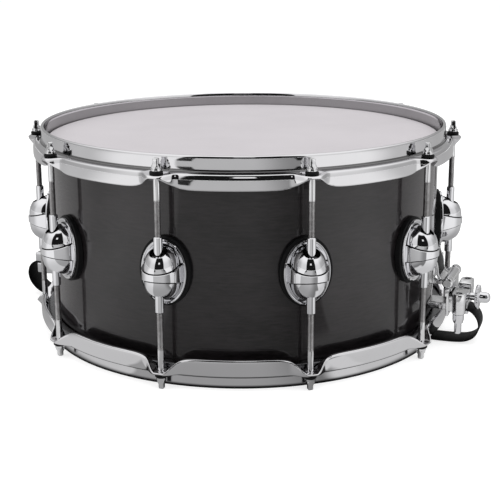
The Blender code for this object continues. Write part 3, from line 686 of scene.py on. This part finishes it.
def make_gaskets():
    """Oval gaskets, curved to the shell behind and with a rounded edge in front."""
    width, height = GASKET_SIZE
    back = [on_shell(oval_ring(0, width * s, height * s), SHELL_RADIUS + GAP) for s in (0.05, 0.4, 0.75, 1.0)]
    edge = [(0.0012, 0.0), (0.0005, 0.0001), (0.0001, 0.0005), (0.0, 0.0010)]
    front = [oval_ring(GASKET_FACE - deep, width - inset, height - inset) for deep, inset in edge]
    front.append(oval_ring(GASKET_FACE, width * 0.5, height * 0.5))
    put_at_lugs("lug_gasket", made_by("lug_gasket", loft, back + front), RUBBER)


def darken_between(bm, rows):
    """Gives the second material, the painted shade, to the faces whose points all lie in these rows."""
    dark = {vert for row in rows for vert in row}
    for face in bm.faces:
        face.material_index = int(all(vert in dark for vert in face.verts))


def lug_flange():
    """Oval flange: a rounded bead outside and a shallow moat round the casting, painted dark as painted
    shade.
    """
    sections = [(0, 0.0185, 0.0256), (0, 0.0193, 0.0264), (0.0003, 0.0195, 0.0266),
                (0.0012, 0.0195, 0.0266), (0.0018, 0.0193, 0.0264), (0.0022, 0.0187, 0.0258),
                (0.0022, 0.0180, 0.0251), (0.0018, 0.0173, 0.0244), (0.0012, 0.0166, 0.0238),
                (0.0010, 0.0158, 0.0232), (0.0010, 0.0149, 0.0225), (0.0010, 0.0120, 0.0200)]
    bm = bmesh.new()
    rows = loft(bm, [oval_ring(LUG_FACE + out, *size) for out, *size in sections])
    # the moat's faces get the painted shade
    darken_between(bm, rows[-3:])
    return mesh_from("lug", bm)


def lug_casting():
    """The domed casting with its belt, as one closed surface, with the grooves beside the belt painted dark
    as painted shade.
    """
    reach, half_width, half_height = 0.0204, 0.0142, 0.0219
    belt_reach, belt_width = 0.0213, 0.0160
    back, middle = LUG_FACE + 0.0004, LUG_FACE + 0.0010
    groove, columns = 0.0008, 48
    angles = [math.pi * (i / columns - 0.5) for i in range(columns + 1)]

    def belt_edge(angle):
        return BELT_MIDDLE + BELT_SPREAD * abs(angle / (math.pi / 2)) ** 2.2

    def row(height, inset=0.0, on_belt=False):
        points = []
        for angle in angles:
            z = height(angle)
            size = math.sqrt(max(0.0, 1 - (abs(z) / half_height) ** 3.2))
            out, wide = (belt_reach, belt_width) if on_belt else (reach * size, half_width * size)
            x = middle + (out - inset) * math.cos(angle) ** 0.8
            points.append((x, (wide - inset) * math.sin(angle), z))
        return [(back, points[0][1], points[0][2]), *points, (back, points[-1][1], points[-1][2])]

    dome = [0.9999, 0.998, 0.992, 0.98, 0.96, 0.93, 0.89, 0.83, 0.75, 0.65, 0.53, 0.40, 0.27, 0.14, 0.05]
    upper = []
    for part in dome:
        upper.append(row(lambda a, p=part: (belt_edge(a) + groove) * (1 - p) + half_height * p))
    upper += [row(lambda a: belt_edge(a) + groove), row(lambda a: belt_edge(a) + 0.75 * groove, 0.0010),
              row(lambda a: belt_edge(a) + 0.1 * groove, 0.0010),
              row(lambda a: belt_edge(a) - 0.0001, 0.0003, True),
              row(lambda a: belt_edge(a) - 0.0004, 0, True)]
    belt = [row(lambda a, p=part: (belt_edge(a) - 0.0004) * p, 0, True) for part in (0.5, 0.0)]
    rows = upper + belt
    rows += [[(x, y, -z) for x, y, z in ring] for ring in reversed(rows[:-1])]
    bm = bmesh.new()
    made = loft(bm, rows)
    first = len(dome)
    # painted shade in the grooves on both sides of the belt
    darken_between(bm, made[first:first + 3] + made[-3 - first:len(made) - first])
    return mesh_from("lug_casting", bm)


def lug_pockets():
    """Cutters for the round pocket about the sleeve at each end, whose side walls are painted dark as painted
    shade.
    """
    bm = bmesh.new()
    for turn in (Matrix.Identity(4), Matrix.Rotation(math.pi, 4, "X")):
        own = bmesh.new()
        turned(own, [(0, 0.0166), (0.0030, 0.0163), (0.0048, 0.0157), (0.0060, 0.0151), (0.0067, 0.0149),
                     (0.0070, 0.0156), (0.0071, 0.0300), (0, 0.0300)], steps=48)
        for face in own.faces:
            inner = max(math.hypot(vert.co.x, vert.co.y) for vert in face.verts)
            # painted shade on the pocket's side walls
            face.material_index = int(inner < 0.0049 or inner > 0.0068)
        add_into(bm, own, Matrix.Translation((ROD_CIRCLE + 0.0004, 0, 0)) @ turn)
    return mesh_from("lug_pockets", bm)


def make_lugs():
    """Flange, domed casting with its belt, and a threaded sleeve in a pocket at each end."""
    sleeves = bmesh.new()
    length = 0.0175
    for side in (1, -1):
        round_bar(sleeves, (ROD_CIRCLE, 0, side * (SLEEVE_END - length / 2)), (0, 0, 1), SLEEVE_RADIUS,
                  length, 0.0005, 32, 0.0029)
    flange, casting, pockets = lug_flange(), lug_casting(), lug_pockets()
    sleeves = mesh_from("sleeves", sleeves)
    # second material: the dark chrome copy that paints shade into grooves, moat and pockets
    for mesh in (flange, casting, pockets, sleeves):
        mesh.materials.append(CHROME)
        mesh.materials.append(GROOVE_SHADE_CHROME)
    put_at_lugs("lug", smooth(cut(cut(cut(flange, casting, "UNION"), pockets), sleeves, "UNION"), 32), CHROME)


def square_ring(half, corner, z):
    """A square with rounded corners, rounder for a small corner and a circle for 0."""
    count, power = ROD_SIDES, 2 + corner
    ring = []
    for i in range(count):
        turn = 2 * math.pi * (i + 0.5) / count
        c, s = math.cos(turn), math.sin(turn)
        reach = half / (abs(c) ** power + abs(s) ** power) ** (1 / power)
        ring.append((reach * c, reach * s, z))
    return ring


def make_rods():
    """Key head, collar, shank and a real thread. The origin is in the rim plane, the head up."""
    square, collar = 3.0, ROD_COLLAR
    outline = [
        (0.0013, square, ROD_HEAD_TOP), (0.0018, square, ROD_HEAD_TOP + 0.0001),
        (ROD_NECK - 0.0001, square, ROD_HEAD_TOP + 0.0005), (ROD_NECK, square, ROD_HEAD_TOP + 0.0011),
        (ROD_NECK, square, 0.0038), (ROD_NECK + 0.0003, square, 0.0049), (ROD_NECK + 0.0009, 4.0, 0.0061),
        (ROD_NECK + 0.0012, 1.0, ROD_COLLAR_TOP - 0.0006), (ROD_NECK + 0.0014, 0.0, ROD_COLLAR_TOP),
        (collar - 0.0003, 0.0, ROD_COLLAR_TOP + 0.0001), (collar, 0.0, ROD_COLLAR_TOP + 0.0006),
        (collar, 0.0, ROD_COLLAR_FOOT - 0.0004), (collar - 0.0004, 0.0, ROD_COLLAR_FOOT),
        (ROD_SHANK, 0.0, ROD_COLLAR_FOOT + 0.0001), (ROD_SHANK, 0.0, 0.0200), (ROD_SHANK, 0.0, ROD_SHANK_END),
    ]
    rings = [square_ring(half, corner, -depth) for half, corner, depth in outline]
    steps = 7
    turns = int((ROD_TIP - ROD_SHANK_END) / THREAD_PITCH)
    for k in range(1, turns * steps + 1):
        depth = ROD_SHANK_END + 0.0003 + k * THREAD_PITCH / steps
        fade = smoothstep((depth - ROD_SHANK_END) / 0.0015)
        tip = smoothstep((ROD_TIP - depth) / 0.0020)
        ring = []
        for i in range(ROD_SIDES):
            turn = 2 * math.pi * (i + 0.5) / ROD_SIDES
            phase = (k / steps - turn / (2 * math.pi)) % 1.0
            ridge = 1 - abs(2 * phase - 1)
            radius = THREAD_ROOT + (THREAD_CREST - THREAD_ROOT) * min(1.0, ridge * 1.35)
            radius = ROD_SHANK + (radius - ROD_SHANK) * fade
            radius *= 0.8 + 0.2 * tip
            ring.append((radius * math.cos(turn), radius * math.sin(turn), -min(depth, ROD_TIP)))
        rings.append(ring)
    bm = bmesh.new()
    loft(bm, rings)
    mesh = mesh_from("tension_rod", bm, 40)
    for side, end in SIDES:
        over = Matrix.Identity(4) if side > 0 else Matrix.Rotation(math.pi, 4, "X")
        for index in range(LUG_COUNT):
            name = f"{end}_tension_rod_{index + 1:02d}"
            stand = lug_place(index, at_side(0, side)) @ Matrix.Translation((ROD_CIRCLE, 0, 0)) @ over
            put(name, mesh, ROD_STEEL, name, stand)


def make_washers():
    """A black washer under each rod's collar, all ten of a hoop in one piece."""
    for side, end in SIDES:
        bm = bmesh.new()
        for index in range(LUG_COUNT):
            centre = on_rod(index, WASHER_DEPTH, side)
            round_bar(bm, centre, (0, 0, 1), WASHER_RADIUS, WASHER_THICK, 0.0005, 32, WASHER_BORE)
        put(f"{end}_rod_washers", bm, RUBBER)


# ---------------- straps and snare wires
def along_path(path, outline, facing_out=False):
    """Rings of (y, height) outline points, set square to a path in the XZ plane."""
    rings = []
    for i, point in enumerate(path):
        ahead = (path[min(i + 1, len(path) - 1)] - path[max(i - 1, 0)]).normalized()
        normal = Vector((-ahead.z, 0, ahead.x))
        if facing_out and normal.x < 0:
            normal = -normal
        rings.append([point + Vector((0, y, 0)) + normal * h for y, h in outline])
    return rings


def make_tape(name, points):
    """A woven band along (x, z) points, its width along Y, with UVs in metres for the weave."""
    path = through([(x, 0, z) for x, z in points], 10)
    half, flat, edge_round = STRAP_WIDTH / 2, STRAP_THICK / 2, 0.00035
    outline = [(-half + edge_round, flat), (0, flat), (half - edge_round, flat), (half, flat * 0.3),
               (half, -flat * 0.3), (half - edge_round, -flat), (0, -flat), (-half + edge_round, -flat),
               (-half, -flat * 0.3), (-half, flat * 0.3)]
    lengths = [0.0]
    for before, point in zip(path, path[1:]):
        lengths.append(lengths[-1] + (point - before).length)
    bm = bmesh.new()
    uv = bm.loops.layers.uv.new("tape")
    rows = loft(bm, along_path(path, outline))
    where = {}
    for row, length in zip(rows, lengths):
        for vert, (y, _) in zip(row, outline):
            where[vert] = (y, length)
    for face in bm.faces:
        for loop in face.loops:
            loop[uv].uv = where[loop.vert]
    return mesh_from(name, bm, 60), lengths[-1]


def make_straps():
    """Both straps: from the clamp out and round under the hoop, then in to the snare wires."""
    inward = [(0.2040, 0.0016), (0.1930, 0.0012), (0.1820, 0.0014), (0.1720, 0.0036),
              (0.1620, 0.0066), (0.1530, 0.0072)]
    strainer = [(0.2012, JAW_LEVEL), (0.2080, JAW_LEVEL), (0.2136, JAW_LEVEL - 0.0002),
                (0.2184, 0.0290), (0.2222, 0.0240), (0.2237, 0.0180), (0.2226, 0.0115),
                (0.2185, 0.0060), (0.2120, 0.0028)]
    butt = [(0.2000, BUTT_LEVEL), (0.2100, BUTT_LEVEL), (0.2180, BUTT_LEVEL - 0.0001),
            (0.2240, 0.0332), (0.2280, 0.0280), (0.2292, 0.0210), (0.2268, 0.0135),
            (0.2210, 0.0070), (0.2130, 0.0030)]
    mesh, length = make_tape("strainer_strap", strainer + inward)
    strap = linked("strainer_strap", mesh)
    mesh.materials.append(RIBBON)
    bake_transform(strap)
    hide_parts("strainer_strap")
    mesh, length = make_tape("butt_strap", [(-x, z) for x, z in butt + inward])
    strap = put("butt_strap", mesh, RIBBON)


def make_snare_wires():
    """Twenty coiled strands of three-sided wire, soldered into two end plates."""
    inner, outer = WIRE_PLATE
    half = WIRE_COUNT * WIRE_PITCH / 2
    bm = bmesh.new()
    for sign in (1, -1):
        near, far = sorted((sign * inner, sign * outer))
        block(bm, (near, -half, WIRE_LEVEL - 0.0009), (far, half, WIRE_LEVEL + 0.0009), 0.0004, 2)
    pitch, steps, sides, radius, wire = 0.0015, 8, 3, 0.00052, 0.00018
    reach = inner + 0.002
    rings = []
    for k in range(int(2 * reach / pitch * steps) + 1):
        turn = 2 * math.pi * k / steps
        ring = []
        for side in range(sides):
            around_wire = 2 * math.pi * side / sides
            out = radius + wire * math.cos(around_wire)
            x = -reach + k * pitch / steps + wire * math.sin(around_wire)
            ring.append((x, out * math.cos(turn), out * math.sin(turn)))
        rings.append(ring)
    strand = made_by("strand", loft, rings)
    for row in range(WIRE_COUNT):
        own = bmesh.new()
        own.from_mesh(strand)
        y = (row - (WIRE_COUNT - 1) / 2) * WIRE_PITCH
        add_into(bm, own, Matrix.Translation((0, y, WIRE_LEVEL)))
    put("snare_wires", mesh_from("snare_wires", bm, 50), WIRE_STEEL)


# ---------------- strainer
def shell_cutter():
    """A cutter that hollows a plate's back to fit the shell."""
    radius = SHELL_RADIUS + 2 * GAP
    profile = [(0, 0.12), (radius, 0.12), (radius, 0.0), (0, 0.0)]
    return made_by("shell_cutter", turned, profile, steps=288)


def post_rings(levels):
    """Oval post outlines: (z, radius, inner end) for each level."""
    rings = []
    for z, radius, inner in levels:
        ring = []
        for i in range(25):
            turn = math.pi * i / 24
            ring.append((POST_X + radius * math.cos(turn), POST_Y + radius * math.sin(turn), z))
        near, far = POST_X - radius, POST_X + radius
        corner = softened([(near, POST_Y, z), (near, inner, z), (far, inner, z), (far, POST_Y, z)],
                          [0, 0.0012, 0.0012, 0], 4)
        rings.append(ring + [tuple(p) for p in corner[1:-1]])
    return rings


def mirrored(rings, sign):
    return [[(p[0], sign * p[1], p[2]) for p in ring] for ring in rings]


def screw_head(bm, centre, axis, radius, height):
    """A domed screw head with a cross recess."""
    own = bmesh.new()
    dome = [(radius, -0.0004), (radius, height * 0.35), (radius * 0.93, height * 0.62),
            (radius * 0.75, height * 0.85), (radius * 0.45, height)]
    socket = [(radius * 0.40, height * 0.96), (radius * 0.28, height * 0.35), (0, height * 0.25)]
    turned(own, [(0, -0.0004), *dome, *socket], steps=24)
    add_into(bm, own, axis_place(centre, axis))


def make_strainer_base():
    """Back plate, cheeks and arms to the lever's ears, and the frame plate with two oval posts."""
    face, radius = FRAME_FACE, POST_RADIUS
    middle_blocks = [
        ((PLATE_BACK, -0.0226, 0.0540), (0.1812, 0.0226, 0.0740), 0.0012),  # back plate
        ((face - 0.0026, -0.0262, 0.0290), (face, 0.0262, 0.0530), 0.0008),  # frame plate
        ((face - 0.0045, -0.0264, 0.0465), (face - 0.0001, 0.0264, 0.0532), 0.0012),  # its thick upper end
        ((PLATE_BACK, -0.0100, 0.0296), (face - 0.0013, 0.0100, 0.0356), 0.0012),  # lower foot
    ]
    side_blocks = [
        ((0.1775, 0.0160, 0.0560), (0.1850, 0.0224, 0.0735), 0.0014),  # cheek
        ((0.1800, 0.0162, 0.0563), (0.1950, 0.0222, 0.0598), 0.0010),  # arm
        ((0.1946, 0.0160, 0.0500), (0.1988, 0.0223, 0.0580), 0.0010),  # riser to the ear
        ((face - 0.0010, 0.0142, 0.0322), (POST_X, 0.0218, 0.0440), 0.0006),  # web behind the post
    ]
    shoulder = post_rings([(0.0402, radius - 0.0006, 0.0081), (0.0404, radius - 0.0001, 0.0076),
                           (0.0410, radius, 0.0075), (0.0494, radius, 0.0075),
                           (0.0499, radius - 0.0002, 0.0077), (POST_TOP, radius - 0.0007, 0.0082)])
    column = post_rings([(0.0318, radius - 0.0008, 0.0142), (0.0321, radius - 0.0003, 0.0136),
                         (0.0330, radius - 0.0002, 0.0134), (0.0482, radius - 0.0002, 0.0134)])
    parts = [made_by("part", block, *corners_and_edge) for corners_and_edge in middle_blocks]
    cutters = bmesh.new()
    for sign in (1, -1):
        parts += [made_by("part", loft, mirrored(rings, sign)) for rings in (shoulder, column)]
        for low, high, edge in side_blocks:
            near, far = sorted((sign * low[1], sign * high[1]))
            parts.append(made_by("part", block, (low[0], near, low[2]), (high[0], far, high[2]), edge))
        ear = (LEVER_PIVOT.x, sign * 0.0192, LEVER_PIVOT.z)
        parts.append(made_by("part", round_bar, ear, (0, 1, 0), 0.0047, 0.0074, 0.0003, 40))
        round_bar(cutters, (POST_X, sign * POST_Y, POST_TOP), (0, 0, 1), KEY_HOLE, 0.0090, 0.0001, 28)
    round_bar(cutters, LEVER_PIVOT, (0, 1, 0), PIN_HOLE, 0.06, 0.0001, 20)
    round_bar(cutters, (POST_X, -POST_Y, 0.0335), (0, 0, 1), SCREW_HOLE, 0.0180, 0.0001, 20)
    mesh = parts[0]
    for other in parts[1:]:
        mesh = cut(mesh, other, "UNION")
    mesh = cut(cut(mesh, mesh_from("drills", cutters)), shell_cutter())
    put("strainer_base", smooth(mesh, 30), SATIN_CHROME)


def make_adjusting_screw():
    """The screw under the front post, as (radius, height) points."""
    profile = [(0.0, 0.0405), (0.0025, 0.0405), (0.0025, 0.0314), (0.0045, 0.0314), (0.0049, 0.0310),
               (0.0049, 0.0266), (0.0048, 0.0261), (0.0042, 0.0240), (0.0039, 0.0236), (0.0031, 0.0234),
               (0.0031, 0.0152), (0.0029, 0.0144), (0.0023, 0.0137), (0.0, 0.0134)]
    mesh = made_by("adjusting_screw", turned, profile, Matrix.Translation((POST_X, -POST_Y, 0)), 36)
    put("adjusting_screw", mesh, CHROME, "adjusting_screw")


def make_carriage():
    """The sliding jaw with a bore for the knob's shaft, its clamp plate, and the plate's two screws."""
    half, body = 0.0127, "strainer_carriage"
    plate_foot = JAW_LEVEL - 0.0038
    inner = FRAME_FACE + 0.0010
    jaw = made_by(body, block, (inner, -half, JAW_LEVEL + 0.0010), (0.2132, half, 0.0392), 0.0007)
    tongue = made_by("tongue", block, (inner + 0.0002, -0.0067, 0.0380), (0.2128, 0.0067, 0.0472), 0.0008)
    bore = made_by("bore", round_bar, (0.2085, 0, KNOB_LEVEL), (1, 0, 0), 0.0029, 0.0120, 0.0001, 28)
    put(body, smooth(cut(cut(jaw, tongue, "UNION"), bore), 30), SATIN_CHROME, body)
    name = "strainer_clamp_plate"
    plate = made_by(name, block, (0.2005, -half, plate_foot), (0.2140, half, JAW_LEVEL - 0.0009), 0.0008)
    put(name, plate, CHROME, body)
    bm = bmesh.new()
    for y in (-0.0092, 0.0092):
        screw_head(bm, (0.2075, y, plate_foot), (0, 0, -1), 0.0021, 0.0015)
    put("strainer_clamp_screws", bm, CHROME, body)


def make_knob():
    """Shaft, finely knurled disc and domed end, along +X."""
    count = 120
    sections = [(0.0, 0.0025, 0), (0.0104, 0.0025, 0), (0.0107, 0.0030, 0), (0.0109, 0.0034, 0),
                (0.0152, 0.0034, 0), (0.0156, 0.0040, 0), (0.0157, 0.0100, 0), (0.0160, 0.0105, 0.5),
                (0.0165, 0.0109, 1), (0.0183, 0.0109, 1), (0.0188, 0.0105, 0.5), (0.0190, 0.0100, 0),
                (0.0192, 0.0060, 0), (0.0193, 0.0052, 0), (0.0198, 0.0049, 0), (0.0240, 0.0048, 0),
                (0.0255, 0.0046, 0), (0.0268, 0.0040, 0), (0.0277, 0.0030, 0), (0.0282, 0.0016, 0)]
    rings = []
    for x, radius, knurl in sections:
        ring = []
        for i in range(count):
            turn = 2 * math.pi * i / count
            reach = radius - knurl * 0.0004 * (i % 3 == 0)
            ring.append((KNOB_START + x, reach * math.cos(turn), KNOB_LEVEL + reach * math.sin(turn)))
        rings.append(ring)
    bm = bmesh.new()
    loft(bm, rings)
    put("tension_knob", mesh_from("tension_knob", bm, 30), CHROME, "tension_knob")


def make_lever():
    """A channel-section handle on a hollow barrel, a black inlay between its edges, and its pin."""
    path = through([LEVER_PIVOT + Vector((x, 0, z)) for x, z in (
        (-0.0010, -0.0010), (-0.0050, -0.0008), (-0.0082, 0.0010), (-0.0103, 0.0050), (-0.0109, 0.0100),
        (-0.0118, 0.0140), (-0.0136, 0.0185), (-0.0146, 0.0225))], 8)
    half, flat, lip, sunk = 0.0150, 0.0011, 0.0024, 0.0008
    bed = half - lip
    outline = softened([(-half, -flat), (-half, flat), (-bed, flat), (-bed, flat - sunk),
                        (bed, flat - sunk), (bed, flat), (half, flat), (half, -flat)],
                       [0.0005, 0.0006, 0.0003, 0.0002, 0.0002, 0.0003, 0.0006, 0.0005], 3, True)
    edge, foot, top = bed - 0.0002, flat - 0.0007, flat - 0.0001
    strip = softened([(-edge, foot), (-edge, top), (edge, top), (edge, foot)],
                     [0.0001, 0.0002, 0.0002, 0.0001], 2, True)
    across = (0, 1, 0)
    barrel = made_by("barrel", round_bar, LEVER_PIVOT, across, 0.0045, 0.0304, 0.0003, 40)
    hole = made_by("hole", round_bar, LEVER_PIVOT, across, PIN_HOLE, 0.0400, 0.0001, 20)
    handle = made_by("strainer_lever", loft, along_path(path, outline, True))
    mesh = smooth(cut(cut(handle, barrel, "UNION"), hole), 32)
    put("strainer_lever", mesh, SATIN_CHROME, "strainer_lever")
    inlay = along_path(path, strip, True)[20:len(path) - 4]
    put("lever_inlay", made_by("lever_inlay", loft, inlay), RUBBER, "strainer_lever")
    outer, under, shank, head = 0.0244, 0.0229, 0.0016, 0.0042
    end = [(0, outer), (head - 0.0008, outer), (head, outer - 0.0006), (head, under), (shank, under - 0.0001)]
    profile = end + [(radius, -reach) for radius, reach in reversed(end)]
    pin = made_by("lever_pin", turned, profile, axis_place(LEVER_PIVOT, across), 32)
    put("lever_pin", pin, SATIN_CHROME)


def make_butt():
    """The butt's base with its jaw, the clamp plate below it, and their screws."""
    inner, half, clamp_foot, clamp_top = -0.1862, 0.0210, 0.0245, BUTT_LEVEL - 0.0008
    plate = made_by("butt_base", block, (inner, -half, 0.0300), (-PLATE_BACK, half, 0.0560), 0.0016, 4)
    jaw = made_by("jaw", block, (-0.2190, -0.0150, BUTT_LEVEL + 0.0008), (-0.1845, 0.0150, 0.0455), 0.0018, 4)
    mesh = smooth(cut(cut(plate, jaw, "UNION"), shell_cutter()), 30)
    put("butt_base", mesh, CHROME)
    clamp = made_by("butt_clamp_plate", block, (-0.2175, -0.0145, clamp_foot), (-0.1980, 0.0145, clamp_top),
                    0.0014, 4)
    put("butt_clamp_plate", clamp, CHROME)
    bm = bmesh.new()
    for y in (-0.0090, 0.0090):
        screw_head(bm, (-0.2075, y, clamp_foot), (0, 0, -1), 0.0021, 0.0015)
    for y in (-0.0178, 0.0178):
        screw_head(bm, (inner, y, 0.0505), (-1, 0, 0), 0.0022, 0.0014)
    put("butt_screws", bm, CHROME)


def make_inner_screws():
    """Heads of the lug screws on washers, inside the shell."""
    bm = bmesh.new()
    face = SHELL_RADIUS - SHELL_WALL
    for index in range(LUG_COUNT):
        outward = Matrix.Rotation(lug_angle(index), 3, "Z") @ Vector((1, 0, 0))
        for z in (-0.0095, 0.0095):
            level = Vector((0, 0, MID + z))
            round_bar(bm, outward * (face - 0.0006) + level, outward, 0.0055, 0.0010, 0.0002, 28)
            screw_head(bm, outward * (face - 0.0011) + level, -outward, 0.0036, 0.0024)
    put("lug_screws", bm, CHROME)


# ---------------- camera, floor and light
def make_camera():
    """A 78 mm lens, about 1.05 m from the drum, a little above it."""
    data = bpy.data.cameras.new("camera")
    camera = linked("camera", data)
    back = -Vector((-0.3326, 0.9096, -0.2491)).normalized()
    right = Vector((-0.0808, 0.2357, 0.9685)).cross(back).normalized()
    turn = Matrix((right, back.cross(right), back)).transposed()
    camera.matrix_world = Matrix.Translation((0.3455, -0.9324, 0.3442)) @ turn.to_4x4()
    data.sensor_width = 36.0
    data.lens = 78.47
    data.shift_x, data.shift_y = 0.0028, -0.05
    data.clip_start, data.clip_end = 0.05, 60.0
    bpy.context.scene.camera = camera


def cosine(degrees):
    return math.cos(math.radians(degrees))


def around(nodes, point):
    """The studio by direction: brightness beside the dark sector, 1 inside it, cosine, sine and reach."""
    x, y = point.outputs[0], point.outputs[1]
    reach = nodes.math("SQRT", nodes.plus(nodes.times(x, x), nodes.times(y, y)))
    ahead, aside = math.cos(FRONT), math.sin(FRONT)
    length = nodes.math("MAXIMUM", reach, 0.0001)
    facing = nodes.math("DIVIDE", nodes.plus(nodes.times(x, ahead), nodes.times(y, aside)), length)
    across = nodes.math("SUBTRACT", nodes.times(y, ahead), nodes.times(x, aside))
    beside = nodes.math("DIVIDE", across, length)
    side = nodes.times(nodes.ramp(facing, 0.08, 0.50, 0.60, 0.98), nodes.ramp(facing, -0.65, 0.0, 0.77, 1.0))
    sector = nodes.ramp(facing, cosine(34), cosine(32))
    return side, sector, facing, beside, reach


def make_world():
    """White studio. Glossy surfaces see a dark gap on the front side, with one small lamp in it."""
    world = bpy.data.worlds.new("studio")
    bpy.context.scene.world = world
    world.use_nodes = True
    tree = world.node_tree
    tree.nodes.clear()
    nodes = Nodes(tree)
    direction = nodes.add("ShaderNodeTexCoord").outputs["Generated"]
    along = nodes.add("ShaderNodeSeparateXYZ", Vector=direction)
    side, sector, facing, _, _ = around(nodes, along)
    rise = along.outputs[2]
    dark = nodes.times(sector, nodes.ramp(rise, 0.86, 0.94, 1.0, 0.0))
    lamp_height = nodes.times(nodes.ramp(rise, 0.40, 0.42), nodes.ramp(rise, 0.56, 0.58, 1.0, 0.0))
    lamp = nodes.times(nodes.ramp(facing, cosine(7), cosine(5)), lamp_height)
    sky = nodes.between(nodes.ramp(rise, 0.25, 0.80), nodes.times(side, 0.80), 1.05)
    seen = nodes.between(dark, sky, nodes.ramp(lamp, 0.0, 1.0, 0.010, 0.95))
    path = nodes.add("ShaderNodeLightPath")
    plain = nodes.plus(nodes.times(path.outputs["Is Camera Ray"], 0.55), 0.60)
    strength = nodes.between(path.outputs["Is Glossy Ray"], plain, seen)
    shader = nodes.add("ShaderNodeBackground", Color=(1.0, 1.0, 1.0, 1.0), Strength=strength)
    nodes.add("ShaderNodeOutputWorld", Surface=shader)
    world.cycles.sampling_method = "NONE"


def stage_plane(name, radius, z, look):
    """A round flat piece of the stage."""
    bm = bmesh.new()
    bmesh.ops.create_circle(bm, cap_ends=True, segments=96, radius=radius,
                            matrix=Matrix.Translation((0, 0, z)))
    mesh = bpy.data.meshes.new(name)
    bm.to_mesh(mesh)
    bm.free()
    mesh.materials.append(look)
    obj = linked(name, mesh)
    return obj


def make_floor():
    """A white table, and a card that only glossy surfaces see, which stands for its soft shading."""
    look, nodes, shader = material("floor")
    white, black = (1.0, 1.0, 1.0, 1.0), (0.0, 0.0, 0.0, 1.0)
    nodes.fill(shader, Base_Color=(0.50, 0.50, 0.50, 1.0), Roughness=1.0, Specular_IOR_Level=0.0,
               Emission_Color=white, Emission_Strength=0.72)
    stage_plane("floor", 30.0, 0.0, look)

    look, nodes, shader = material("floor_card")
    spot = nodes.add("ShaderNodeSeparateXYZ", Vector=nodes.here())
    side, sector, facing, beside, reach = around(nodes, spot)
    front = nodes.ramp(beside, 0.05, 0.42, 0.56, 0.28)
    edge = nodes.times(sector, nodes.ramp(facing, cosine(25.5), cosine(24.5), 1.0, 0.0))
    far_edge = nodes.times(edge, nodes.ramp(reach, 0.885, 0.900))
    front = nodes.times(front, nodes.ramp(far_edge, 0.0, 1.0, 1.0, 0.05))
    near_side = nodes.times(nodes.ramp(beside, 0.36, 0.44), nodes.ramp(reach, 0.26, 0.30, 1.0, 0.0))
    front = nodes.plus(front, nodes.times(near_side, 0.80))
    glow = nodes.times(nodes.between(sector, side, front), nodes.ramp(reach, 0.22, 0.52, 0.66, 1.0))
    contact = nodes.ramp(reach, 0.1855, 0.197, 0.03, 1.0)
    nodes.fill(shader, Base_Color=black, Specular_IOR_Level=0.0, Emission_Color=white,
               Emission_Strength=nodes.times(glow, contact))
    card = stage_plane("floor_card", 8.0, 0.0002, look)
    card.visible_camera = card.visible_diffuse = False
    card.visible_transmission = card.visible_shadow = False


def softbox(name, place, size, power):
    """A rectangular lamp aimed at the drum, which no camera or mirror sees."""
    data = bpy.data.lights.new(name, "AREA")
    data.shape = "RECTANGLE"
    data.size, data.size_y = size
    data.energy = power
    light = linked(name, data)
    turn = (Vector((0.0, 0.0, 0.1)) - Vector(place)).to_track_quat("-Z", "Y")
    light.matrix_world = Matrix.Translation(place) @ turn.to_matrix().to_4x4()
    light.visible_camera = light.visible_glossy = False


def make_light():
    softbox("top_softbox", (0.1, 0.2, 1.9), (2.2, 2.2), 26.0)
    softbox("left_softbox", (-1.5, -1.0, 1.1), (1.2, 1.4), 9.0)
    softbox("right_softbox", (1.6, -0.6, 1.1), (1.2, 1.4), 9.0)
    settings = bpy.context.scene.view_settings
    settings.view_transform = "Standard"
    settings.look = "None"


make_shell()
for (hoop_side, hoop_end), film in zip(SIDES, (COATED_FILM, CLEAR_FILM)):
    make_head(f"{hoop_end}_head", hoop_side, film)
    make_flesh_hoop(f"{hoop_end}_flesh_hoop", hoop_side)
    make_hoop(f"{hoop_end}_hoop", hoop_side)
make_gaskets()
make_lugs()
make_rods()
make_washers()
make_straps()
make_snare_wires()
make_strainer_base()
make_adjusting_screw()
make_carriage()
make_knob()
make_lever()
make_butt()
make_inner_screws()
make_camera()
make_world()
make_floor()
make_light()
